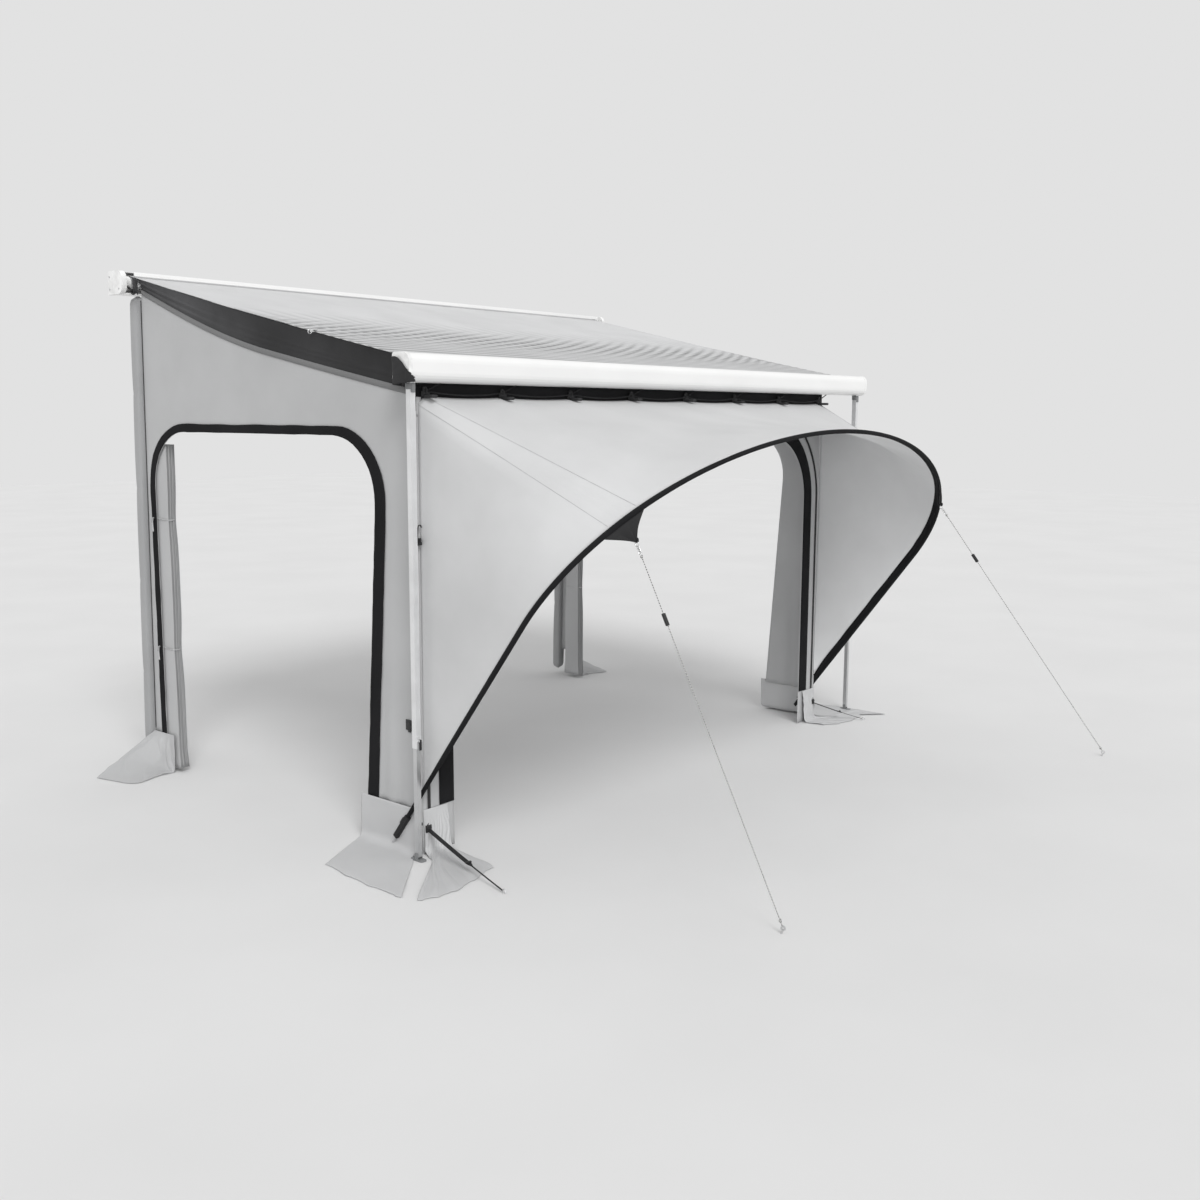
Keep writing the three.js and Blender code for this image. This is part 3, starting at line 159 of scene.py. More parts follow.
def lattice(name, points, places, rows, flip):
    """A mesh over columns of rows + 1 points each."""
    column = rows + 1
    faces = []
    for i in range(len(points) // column - 1):
        for a in range(i * column, i * column + rows):
            face = (a, a + column, a + column + 1, a + 1)
            faces.append(face[::-1] if flip else face)
    return mesh_object(name, points, faces, places)


def grid(name, at, columns, rows, size, flip=False):
    """A sheet over at(u, v), with a UV map in metres."""
    spots = [(i / columns, j / rows) for i in range(columns + 1) for j in range(rows + 1)]
    places = [(u * size[0], v * size[1]) for u, v in spots]
    return lattice(name, [at(u, v) for u, v in spots], places, rows, flip)


def band(name, inner, outer, rows, lift, flip=False):
    """A sheet between two lines with as many points, placed by lift((a, b), u, v)."""
    points, places = [], []
    for i, (near, far) in enumerate(zip(inner, outer)):
        for j in range(rows + 1):
            flat = near.lerp(far, j / rows)
            points.append(lift(flat, i / (len(inner) - 1), j / rows))
            places.append(tuple(flat))
    return lattice(name, points, places, rows, flip)


def thicken(obj, thickness=0.0014, outer=0):
    """Gives cloth its thickness; the face behind its normals takes the material that many slots on."""
    alone(obj)
    solid = obj.modifiers.new("Cloth", "SOLIDIFY")
    solid.thickness = thickness
    solid.material_offset = outer
    solid.offset = 0.0
    solid.use_rim = True
    bpy.ops.object.modifier_apply(modifier=solid.name)
    return obj


def skin(name, rings, places, closed=False):
    """A skin over rings with as many points each, its ends filled unless it closes on itself."""
    sides, count = len(rings[0]), len(rings)
    faces = []
    for i in range(count if closed else count - 1):
        j = (i + 1) % count
        for k in range(sides):
            m = (k + 1) % sides
            faces.append((i * sides + k, i * sides + m, j * sides + m, j * sides + k))
    if not closed:
        faces.append(tuple(range(sides))[::-1])
        faces.append(tuple((count - 1) * sides + k for k in range(sides)))
    points = [p for ring in rings for p in ring]
    return mesh_object(name, points, faces, [p for ring in places for p in ring])


def tube(name, line, radius, sides=8, closed=False, flat=1.0):
    """A tube along points, with closed ends and a UV map in metres."""
    angles = [2 * pi * k / sides for k in range(sides)]
    rings, places = [], []
    run, last, across = 0.0, line[0], None
    for i, p in enumerate(line):
        ahead = line[(i + 1) % len(line)] if closed or i + 1 < len(line) else p
        behind = line[i - 1] if closed or i else p
        way = (ahead - behind).normalized()
        across = way.orthogonal() if across is None else across - way * across.dot(way)
        across.normalize()
        up = way.cross(across)
        run += (p - last).length
        last = p
        rings.append([p + across * cos(a) * radius + up * sin(a) * radius * flat for a in angles])
        places.append([(run, k / sides * 2 * pi * radius) for k in range(sides)])
    return skin(name, rings, places, closed)


def smooth_line(points, steps=8):
    """A Catmull-Rom line through the points."""
    line = []
    for i in range(len(points) - 1):
        a, b, c = points[max(0, i - 1)], points[i], points[i + 1]
        d = points[min(len(points) - 1, i + 2)]
        for k in range(steps):
            t = k / steps
            place = 2 * b + (c - a) * t
            place += (2 * a - 5 * b + 4 * c - d) * t * t
            place += (3 * b - a - 3 * c + d) * t**3
            line.append(0.5 * place)
    line.append(points[-1].copy())
    return line


def along(line, place):
    """A place on the line, counted in its steps."""
    i = min(int(place), len(line) - 2)
    return line[i].lerp(line[i + 1], place - i)


def through(points, share):
    """A place on the smooth line through evenly spaced points."""
    line = smooth_line([Vector(p) for p in points], 16)
    return along(line, share * (len(line) - 1))


def aim(way, up=UP):
    """A turn that lays local X along the way and keeps local Z as near up as it can."""
    x = way.normalized()
    y = up.cross(x).normalized()
    return Matrix((x, y, x.cross(y))).transposed()


def named(name):
    """The active piece, with its name on it and on its mesh."""
    obj = bpy.context.active_object
    obj.name = obj.data.name = name
    return obj


def circle(name, sides, radius, fill="NGON"):
    """Starts a turned or bent piece."""
    bpy.ops.object.select_all(action="DESELECT")
    bpy.ops.mesh.primitive_circle_add(vertices=sides, radius=radius, fill_type=fill)
    return named(name)


def edit():
    bpy.ops.object.mode_set(mode="EDIT")
    bpy.ops.mesh.select_all(action="SELECT")


def face_out():
    """Ends an edit with every face of the piece turned outwards."""
    bpy.ops.mesh.select_all(action="SELECT")
    bpy.ops.mesh.normals_make_consistent(inside=False)
    bpy.ops.object.mode_set(mode="OBJECT")


def softened(obj, degrees):
    """Smooths the faces that meet at less than the angle."""
    obj.data.shade_smooth()
    bpy.ops.object.shade_smooth_by_angle(angle=radians(degrees))
    return obj


def block(name, place, size, turn=None, bevel=0.0015, segments=2):
    """A moulded block: a cube stretched, then rounded in edit mode."""
    bpy.ops.object.select_all(action="DESELECT")
    bpy.ops.mesh.primitive_cube_add(size=1)
    obj = named(name)
    obj.scale = size
    bpy.ops.object.transform_apply(location=False, rotation=False, scale=True)
    edit()
    bpy.ops.mesh.bevel(offset=bevel, segments=segments, affect="EDGES")
    bpy.ops.object.mode_set(mode="OBJECT")
    matrix = turn.to_4x4() if turn else Matrix.Identity(4)
    obj.data.transform(Matrix.Translation(place) @ matrix)
    return softened(obj, 40)


def turn_up(way):
    return UP.rotation_difference(way).to_matrix().to_4x4()


def turned(name, place, steps, way, sides=20):
    """A turned piece: a circle, then an extrusion and a resize for each (radius, height)."""
    radius, height = steps[0]
    obj = circle(name, sides, radius)
    edit()
    for wider, higher in steps[1:]:
        shift = (0, 0, higher - height)
        bpy.ops.mesh.extrude_region_move(TRANSFORM_OT_translate={"value": shift})
        share = wider / radius
        bpy.ops.transform.resize(value=(share, share, 1), center_override=(0, 0, higher))
        radius, height = wider, higher
    face_out()
    obj.data.transform(Matrix.Translation(place) @ turn_up(way))
    return softened(obj, 35)


def wire(name, start, way, radius, moves, sides=8, ring=False):
    """A bent bar: a circle drawn out on straight runs and spun round (towards, radius, degrees)."""
    obj = circle(name, sides, radius, "NOTHING" if ring else "NGON")
    way = way.normalized()
    obj.data.transform(Matrix.Translation(start) @ turn_up(way))
    edit()
    at = start.copy()
    for move in moves:
        if isinstance(move, float):
            bpy.ops.mesh.extrude_region_move(TRANSFORM_OT_translate={"value": way * move})
            at += way * move
            continue
        toward, bend, degrees = move
        toward = (toward - way * toward.dot(way)).normalized()
        centre, axis = at + toward * bend, way.cross(toward)
        angle = radians(degrees)
        steps = max(3, round(degrees / 15))
        bpy.ops.mesh.spin(steps=steps, angle=-angle, center=centre, axis=axis)
        rotation = Matrix.Rotation(angle, 3, axis)
        at, way = centre + rotation @ (at - centre), rotation @ way
    bpy.ops.mesh.select_all(action="SELECT")
    bpy.ops.mesh.remove_doubles(threshold=1e-5)
    face_out()
    return softened(obj, 50)


def copied(obj, shift):
    """A copy with its own mesh, moved over."""
    alone(obj)
    bpy.ops.object.duplicate(linked=False)
    copy = bpy.context.active_object
    copy.data.transform(Matrix.Translation(shift))
    return copy


def joined(name, pieces):
    bpy.ops.object.select_all(action="DESELECT")
    for piece in pieces:
        piece.select_set(True)
    bpy.context.view_layer.objects.active = pieces[0]
    if len(pieces) > 1:
        bpy.ops.object.join()
    return named(name)


def with_painted_shading(obj, value):
    """Stores value(place) on each vertex as the painted shading weight that a finish scales its colour by.
    """
    layer = obj.data.attributes.new("fold_depth", "FLOAT", "POINT")
    for item, vertex in zip(layer.data, obj.data.vertices):
        item.value = value(vertex.co)
    return obj


def sheet_area(obj):
    return sum(face.area for face in obj.data.polygons)


def dress(obj, finish, body, slot=None):
    """Gives a piece its finish and its body; the slot is looked up but not given to the piece."""
    obj.data.materials.clear()
    obj.data.materials.append(finish_for(finish))
    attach(obj, body)
    slot or FINISHES[finish][0]
    return obj


def fold_to_cassette(obj, axis):
    """Gives the piece its own mesh; the anchor towards the cassette is worked out but nothing draws in."""
    anchor = Vector((0, OPENING_Y, roof_height(0, OPENING_Y)))
    if axis is FOLD_UP:
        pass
    else:
        anchor.y = WALL_REAR_Y
    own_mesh(obj)


# Materials


class Finish:
    """A material under construction, with its shader and a short way to add nodes."""

    def __init__(self, name, colour, roughness, metallic=0.0, **shader):
        self.material = bpy.data.materials.new(name)
        self.material.use_nodes = True
        self.tree = self.material.node_tree
        self.shader = self.tree.nodes["Principled BSDF"]
        self.material.diffuse_color = (*colour, 1)
        values = {"base_color": (*colour, 1), "roughness": roughness, "metallic": metallic}
        for key, value in {**values, **shader}.items():
            self.socket(self.shader, key).default_value = value
        self.height = None

    def socket(self, node, key):
        return node.inputs[key.replace("_", " ").title().replace("Ior", "IOR")]

    def add(self, kind, **inputs):
        node = self.tree.nodes.new(kind)
        for key, value in inputs.items():
            if hasattr(node, key):
                setattr(node, key, value)
            else:
                self.socket(node, key).default_value = value
        return node

    def link(self, source, target):
        self.tree.links.new(source, target)

    def coordinates(self, kind):
        return self.add("ShaderNodeTexCoord").outputs[kind]

    def noise(self, scale, detail=3.0, kind="Object", stretch=None):
        node = self.add("ShaderNodeTexNoise", Scale=scale, Detail=detail)
        source = self.coordinates(kind)
        if stretch:
            mapping = self.add("ShaderNodeMapping", Scale=stretch)
            self.link(source, mapping.inputs["Vector"])
            source = mapping.outputs["Vector"]
        self.link(source, node.inputs["Vector"])
        return node.outputs["Fac"]

    def bands(self, pitch, direction):
        scale = pi / 10 / pitch
        node = self.add("ShaderNodeTexWave", bands_direction=direction, Scale=scale)
        self.link(self.coordinates("UV"), node.inputs["Vector"])
        return node.outputs["Fac"]

    def product(self, a, b):
        node = self.add("ShaderNodeMath", operation="MULTIPLY")
        self.link(a, node.inputs[0])
        self.link(b, node.inputs[1])
        return node.outputs["Value"]

    def tint(self, factor, low, high, start=0.0, end=1.0):
        """Colours between two tones by a factor."""
        ramp = self.add("ShaderNodeValToRGB")
        ends = zip(ramp.color_ramp.elements, (start, end), (low, high))
        for element, position, colour in ends:
            element.position = position
            element.color = (*colour, 1)
        self.link(factor, ramp.inputs["Fac"])
        self.link(ramp.outputs["Color"], self.shader.inputs["Base Color"])
        return ramp.outputs["Color"]

    def between(self, factor, low, high):
        node = self.add("ShaderNodeMapRange", To_Min=low, To_Max=high)
        self.link(factor, node.inputs["Value"])
        return node.outputs["Result"]

    def scale_by_painted_shading(self, colour, share):
        """Scales the colour towards a share of it where the painted shading weight is high: painted shade
        where the share is below 1, painted light where it is above.
        """
        depth = self.add("ShaderNodeAttribute", attribute_name="fold_depth")
        grey = self.between(depth.outputs["Fac"], 1.0, share)
        scale = self.add("ShaderNodeVectorMath", operation="SCALE")
        self.link(colour, scale.inputs[0])
        self.link(grey, scale.inputs["Scale"])
        self.link(scale.outputs["Vector"], self.shader.inputs["Base Color"])

    def rough(self, factor, low, high):
        self.link(self.between(factor, low, high), self.shader.inputs["Roughness"])

    def bump(self, factor, distance, strength):
        node = self.add("ShaderNodeBump", Distance=distance, Strength=strength)
        self.link(factor, node.inputs["Height"])
        if self.height:
            self.link(self.height, node.inputs["Normal"])
        self.height = node.outputs["Normal"]
        self.link(self.height, self.shader.inputs["Normal"])


def shade(colour, share):
    return tuple(clamp(c * share) for c in colour)


def cloth_finish(
    name, colour, thread=0.0011, roughness=0.82, spread=0.05,
    sheen=0.25, crease=0.002, gloss=0.5, painted_shading=None,
):
    """Woven cloth: two sets of threads, faint tone changes and soft creases."""
    looks = {"specular_ior_level": gloss, "sheen_weight": sheen, "sheen_roughness": 0.5}
    finish = Finish(name, colour, roughness, **looks)
    weave = finish.product(finish.bands(thread, "X"), finish.bands(thread, "Y"))
    low, high = shade(colour, 1 - spread), shade(colour, 1 + spread)
    shown = finish.tint(finish.noise(2.6, 4.0), low, high, 0.3, 0.7)
    # Painted shading: the colour scaled by the weight stored on the mesh, darker for a share below 1 and
    # lighter above
    if painted_shading:
        finish.scale_by_painted_shading(shown, painted_shading)
    finish.bump(weave, thread * 0.25, 0.5)
    finish.bump(finish.noise(9.0, 3.0), crease, 0.5)
    return finish.material


def hard_finish(name, colour, roughness, grain, marks, tones, uneven, bump, stretch=None, **shader):
    """A hard surface: fine grain or lines in the bump, wider marks in tone and roughness."""
    finish = Finish(name, colour, roughness, **shader)
    lines = finish.noise(grain, 2.0, stretch=stretch)
    marks = finish.noise(*marks)
    low, high, start, end = tones
    finish.tint(marks, shade(colour, low), shade(colour, high), start, end)
    finish.rough(marks, roughness + uneven[0], roughness - uneven[1])
    finish.bump(lines, *bump)
    return finish.material


def paint_finish(name, colour, roughness=0.32):
    return hard_finish(
        name, colour, roughness, grain=900.0, marks=(3.0, 5.0), tones=(0.97, 1.0, 0.35, 0.65),
        uneven=(0.06, 0.04), bump=(0.00006, 0.4), coat_weight=0.25, coat_roughness=0.2,
    )


def metal_finish(name, colour, roughness=0.34, metallic=0.85):
    """Anodised or galvanised metal with fine lines along its length."""
    return hard_finish(
        name, colour, roughness, grain=700.0, marks=(11.0, 5.0), tones=(0.94, 1.03, 0.35, 0.65),
        uneven=(0.07, 0.05), bump=(0.00004, 0.5), stretch=(1.0, 1.0, 0.03), metallic=metallic,
    )


def plastic_finish(name, colour, roughness=0.5):
    return hard_finish(
        name, colour, roughness, grain=1400.0, marks=(24.0, 4.0), tones=(0.88, 1.1, 0.35, 0.7),
        uneven=(0.08, 0.06), bump=(0.00005, 0.5), specular_ior_level=0.45,
    )


def webbing_finish(name, colour):
    """Flat woven strap: ribs across it and fine threads along it."""
    finish = Finish(name, colour, 0.75, sheen_weight=0.05, specular_ior_level=0.3)
    ribs = finish.bands(0.0018, "X")
    finish.tint(ribs, shade(colour, 0.7), shade(colour, 1.5))
    finish.bump(ribs, 0.0004, 0.7)
    finish.bump(finish.bands(0.0011, "Y"), 0.0002, 0.5)
    return finish.material


def rope_finish(name, dark, light=(0.78, 0.78, 0.76)):
    """Braided cord with light flecks."""
    finish = Finish(name, dark, 0.8, sheen_weight=0.3)
    braid = finish.bands(0.006, "DIAGONAL")
    flecks = finish.product(braid, finish.noise(160.0, 1.0, "UV"))
    finish.tint(flecks, dark, light, 0.22, 0.34)
    finish.bump(braid, 0.0006, 0.8)
    return finish.material


COLOUR = {"subtype": "COLOR", "size": 3}
LENGTH = {"subtype": "DISTANCE", "unit": "LENGTH"}
FACTOR = {"subtype": "FACTOR"}


class AwningTentColours(bpy.types.PropertyGroup):
    roof: bpy.props.FloatVectorProperty(
        name="Roof cloth", description="Colour of the roof cloth",
        default=(0.60, 0.603, 0.608), **COLOUR,
    )
    wall: bpy.props.FloatVectorProperty(
        name="Wall cloth", description="Colour of the walls and curtains",
        default=(0.45, 0.453, 0.457), **COLOUR,
    )
    flap: bpy.props.FloatVectorProperty(
        name="Flap cloth", description="Colour of the mud flaps",
        default=(0.53, 0.533, 0.538), **COLOUR,
    )
    hood: bpy.props.FloatVectorProperty(
        name="Hood cloth", description="Colour of the porch hood",
        default=(0.575, 0.578, 0.582), **COLOUR,
    )
    dark: bpy.props.FloatVectorProperty(
        name="Dark cloth", description="Colour of the bindings, hem and patches",
        default=(0.010, 0.010, 0.011), **COLOUR,
    )
    gusset: bpy.props.FloatVectorProperty(
        name="Gusset cloth", description="Colour of the gussets under the roof",
        default=(0.024, 0.024, 0.025), **COLOUR,
    )
    pad: bpy.props.FloatVectorProperty(
        name="Pad cloth", description="Colour of the draught pads",
        default=(0.34, 0.343, 0.347), **COLOUR,
    )
    white: bpy.props.FloatVectorProperty(
        name="Powder coat", description="Colour of the cassette and lead rail",
        default=(0.86, 0.86, 0.855), **COLOUR,
    )
    aluminium: bpy.props.FloatVectorProperty(
        name="Aluminium", description="Colour of arms, legs and brackets",
        default=(0.78, 0.785, 0.79), **COLOUR,
    )
    steel: bpy.props.FloatVectorProperty(
        name="Steel", description="Colour of the pole, pegs and inner legs",
        default=(0.62, 0.625, 0.63), **COLOUR,
    )
    black: bpy.props.FloatVectorProperty(
        name="Black plastic", description="Colour of hooks, levers and sliders",
        default=(0.02, 0.02, 0.021), **COLOUR,
    )
    grey: bpy.props.FloatVectorProperty(
        name="Grey plastic", description="Colour of the feet and hinge covers",
        default=(0.22, 0.225, 0.23), **COLOUR,
    )
    floor: bpy.props.FloatVectorProperty(
        name="Floor", description="Colour of the floor and backdrop",
        default=(0.74, 0.74, 0.74), **COLOUR,
    )


class AwningTentSizes(bpy.types.PropertyGroup):
    ripple_pitch: bpy.props.FloatProperty(
        name="Ripple pitch", description="Distance between the roof's ripples",
        default=0.084, **LENGTH,
    )
    ripple_height: bpy.props.FloatProperty(
        name="Ripple height", description="Height of the roof's ripples near the lead rail",
        default=0.0040, **LENGTH,
    )
    hem_width: bpy.props.FloatProperty(
        name="Hem width", description="Width of the dark hem along the hood's pole",
        default=0.042, **LENGTH,
    )
    rope_diameter: bpy.props.FloatProperty(
        name="Rope diameter", description="Diameter of the guy ropes",
        default=0.004, **LENGTH,
    )
    sun_strength: bpy.props.FloatProperty(
        name="Sun strength", description="Strength of the main lamp",
        default=1.45, **FACTOR,
    )
    fill_strength: bpy.props.FloatProperty(
        name="Fill strength", description="Strength of the soft lamp from the front",
        default=0.5, **FACTOR,
    )
    sky_strength: bpy.props.FloatProperty(
        name="Sky strength", description="Strength of the light all round",
        default=0.66, **FACTOR,
    )


def colours():
    return bpy.context.scene.awning_tent_colours


def sizes():
    return bpy.context.scene.awning_tent_sizes


# Each finish: its slot, maker, material name, colour, share of that colour and settings
FINISHES = {
    "roof": (
        "roof_fabric", cloth_finish, "Roof canvas", "roof", 1,
        # The roof's painted shading share darkens its ripples' troughs: painted shade
        {"roughness": 0.7, "sheen": 0.1, "crease": 0.0012, "painted_shading": 0.31},
    ),
    "wall": ("wall_fabric", cloth_finish, "Wall polyester", "wall", 1, {}),
    "hood": ("hood_fabric", cloth_finish, "Hood polyester", "hood", 1, {"roughness": 0.75}),
    # The hood's inside face: a lighter copy of the hood cloth, painted light for the light that comes
    # through it
    "hood_inside_painted_light": (
        "hood_fabric", cloth_finish, "Hood polyester inside", "hood", 1.27,
        {"roughness": 0.85},
    ),
    "dark": (
        "dark_fabric", cloth_finish, "Dark binding", "dark", 1,
        {"thread": 0.0016, "roughness": 0.9, "spread": 0.3, "sheen": 0.0, "gloss": 0.2},
    ),
    "gusset": (
        "gusset_fabric", cloth_finish, "Gusset polyester", "gusset", 1,
        # The gusset's painted shading share lightens it towards its rear: painted light
        {"roughness": 0.8, "spread": 0.3, "sheen": 0.05, "gloss": 0.3, "painted_shading": 3.8},
    ),
    "flap": (
        "wall_fabric", cloth_finish, "Flap sheeting", "flap", 1,
        {"roughness": 0.6, "sheen": 0.1, "crease": 0.003},
    ),
    "keder": ("gusset_fabric", cloth_finish, "Keder strip", "wall", 0.35, {"roughness": 0.8}),
    "pad": (
        "pad_fabric", cloth_finish, "Quilted pad", "pad", 1,
        {"thread": 0.0014, "roughness": 0.88},
    ),
    "white": ("powder_coat_white", paint_finish, "White powder coat", "white", 1, {}),
    "cap": (
        "powder_coat_white", plastic_finish, "White cap plastic", "white", 1,
        {"roughness": 0.42},
    ),
    "aluminium": ("aluminium", metal_finish, "Anodised aluminium", "aluminium", 1, {}),
    "leg": (
        "aluminium", metal_finish, "Satin leg tube", "aluminium", 1,
        {"roughness": 0.42, "metallic": 0.55},
    ),
    "steel": ("steel", metal_finish, "Galvanised steel", "steel", 1, {"roughness": 0.4}),
    "bright": ("steel", metal_finish, "Bright wire", "aluminium", 1, {"roughness": 0.22}),
    "black": (
        "plastic_black", plastic_finish, "Black fitting plastic", "black", 1,
        {"roughness": 0.46},
    ),
    "grey": ("plastic_grey", plastic_finish, "Grey moulding", "grey", 1, {"roughness": 0.55}),
    "webbing": ("webbing", webbing_finish, "Black webbing", "dark", 1, {}),
    "tie": ("wall_fabric", webbing_finish, "Light tie", "wall", 1, {}),
    "thread": ("hood_fabric", plastic_finish, "Sewing thread", "hood", 0.82, {"roughness": 0.85}),
    "zip": ("dark_fabric", plastic_finish, "Zip tape", "black", 1, {"roughness": 0.7}),
    "rope": ("rope", rope_finish, "Flecked cord", "dark", 2.5, {}),
}
made = {}


def finish_for(name):
    """The material of that name, made once."""
    if name not in made:
        _, maker, title, colour, share, settings = FINISHES[name]
        made[name] = maker(title, shade(getattr(colours(), colour), share), **settings)
    return made[name]


# Shapes that several pieces follow


def roof_share(y):
    return (y - ROOF_REAR[0]) / (ROOF_FRONT[0] - ROOF_REAR[0])


def roof_height(x, y):
    share = roof_share(y)
    edge = (x / ROOF_HALF) ** 2
    sag = 0.022 * 4 * share * (1 - share) * (1 - edge / 2)
    return mix(ROOF_REAR[1], ROOF_FRONT[1], share) - sag


def gusset_edges(side, share):
    """The gusset's y, top and bottom at a share of its run to the rail."""
    y = mix(GUSSET_REAR_Y, GUSSET_FRONT_Y, share)
    x = ROOM_X + side * (WALL_HALF + 0.026)
    early = sin(pi * min(share, 0.5))
    late = max(0.0, share - 0.5) * 2
    top = roof_height(x, y) - 0.004
    return y, top, top - (0.062 + 0.106 * early - 0.018 * late)


ARCH_HALF = 1.858
ARCH_SPRING = 1.200
ARCH_RISE = 0.830
ARCH_FOOT = 0.034


def arch(share):
    """The pole's centre line, from its left foot at 0 to its right foot at 1."""
    side_run = ARCH_SPRING - ARCH_FOOT
    curve_run = pi * sqrt((ARCH_HALF**2 + ARCH_RISE**2) / 2)
    run = share * (2 * side_run + curve_run)
    beyond = run - side_run - curve_run
    if run < side_run:
        x, z = -ARCH_HALF, ARCH_FOOT + run
    elif beyond > 0:
        x, z = ARCH_HALF, ARCH_SPRING - beyond
    else:
        angle = pi * (run - side_run) / curve_run
        x, z = -ARCH_HALF * cos(angle), ARCH_SPRING + ARCH_RISE * sin(angle)
    crown = max(0.0, (z - ARCH_SPRING) / ARCH_RISE)
    return room(x, -2.250 - 0.76 * z + 0.133 * crown**2, z)


def arch_share(test):
    """The share at which the test turns true on the pole's left half."""
    low, high = 0.0, 0.5
    while high - low > 1e-7:
        middle = (low + high) / 2
        if test(arch(middle)):
            high = middle
        else:
            low = middle
    return low


def arch_at_inset(inset):
    return arch_share(lambda p: p.x > ROOM_X - ARCH_HALF + inset)


def arch_at_height(height):
    return arch_share(lambda p: p.z > GROUND + height)


def beside_pole(share, origin, clearance=0.0135):
    pole = arch(share)
    run = origin - pole
    line = arch(share + 1e-3) - arch(share - 1e-3)
    return pole + run.normalized() * clearance / sin(run.angle(line))


HOOD_REAR_Y = FRONT_WALL_Y - 0.004
HOOD_TOP = 2.188
HOOD_HALF = 1.780
HOOD_CORNER = 0.036
HOOD_FOOT = 0.330
SEAM_OUTER = arch_at_inset(0.258)
SEAM_INNER = arch_at_inset(0.388)
HOOD_FOOT_SHARE = arch_at_height(HOOD_FOOT)
WING_END, CORNER_END = 0.5, 0.6
SLEEVE_RADIUS = 0.0112


def hood_parts(w):
    """The hood's rear point, the pole's share and the sag at w, 0 at the foot and 1 at the middle."""
    side, corner = HOOD_HALF + HOOD_CORNER, HOOD_TOP - HOOD_CORNER
    if w < WING_END:
        t = w / WING_END
        rear = room(-side, HOOD_REAR_Y, mix(HOOD_FOOT, corner, t))
        return rear, mix(HOOD_FOOT_SHARE, SEAM_OUTER, t), Vector((-0.0225, 0.015, 0)) * t
    if w < CORNER_END:
        t = (w - WING_END) / (CORNER_END - WING_END)
        rear = room(-side + HOOD_CORNER * t, HOOD_REAR_Y, corner + HOOD_CORNER * t)
        return rear, mix(SEAM_OUTER, SEAM_INNER, t), Vector()
    t = (w - CORNER_END) / (1 - CORNER_END)
    rear = room(-HOOD_HALF * (1 - t), HOOD_REAR_Y, HOOD_TOP)
    return rear, mix(SEAM_INNER, 0.5, t), Vector((0, 0, -0.045 * sin(pi / 2 * t)))


def mirrored(p):
    return Vector((2 * ROOM_X - p.x, p.y, p.z))


def hood_point(u, v):
    rear, share, bulge = hood_parts(2 * min(u, 1 - u))
    p = rear.lerp(beside_pole(share, rear), v) + bulge * sin(pi * v)
    return mirrored(p) if u > 0.5 else p


# Guy lines, as the CAD has them
GUY_TOPS = {s: room(k * 1.505, -3.506, 1.562) for s, k in SIDES.items()}
GUY_PEGS = {"left": room(-1.497, -4.282, 0), "right": room(2.157, -4.357, 0)}
STRAP_PEGS = {"left": room(-1.928, -3.098, 0), "right": room(2.005, -2.754, 0)}
STRAP_HALF = FRONT_HALF - 0.026
RING_DROP = Vector((0, 0, 0.006))
PEG_HEAD = Vector((0, 0, 0.024))


def rope_ends(side):
    top = GUY_TOPS[side] - RING_DROP
    start = top + (GUY_PEGS[side] - top).normalized() * 0.0125
    head = GUY_PEGS[side] + PEG_HEAD
    return start, head + (start - head).normalized() * 0.0115


# The photograph's camera, by its place, its yaw, pitch and roll in degrees and its lens in millimetres
CAMERA_PLACE = (-5.8854, -6.843, -0.731)
CAMERA_TURN = (49.964, -8.403, 0.238)
CAMERA_LENS, CAMERA_SENSOR = 37.5, 36
SUN_WAY, SUN_SPREAD = (0.38, 0.60, -0.70), 24
FILL_WAY, FILL_SPREAD = (0.62, 0.75, -0.20), 50
LAMP_PLACE = (-6, -8, 9)
BACKDROP_GREY = 0.76


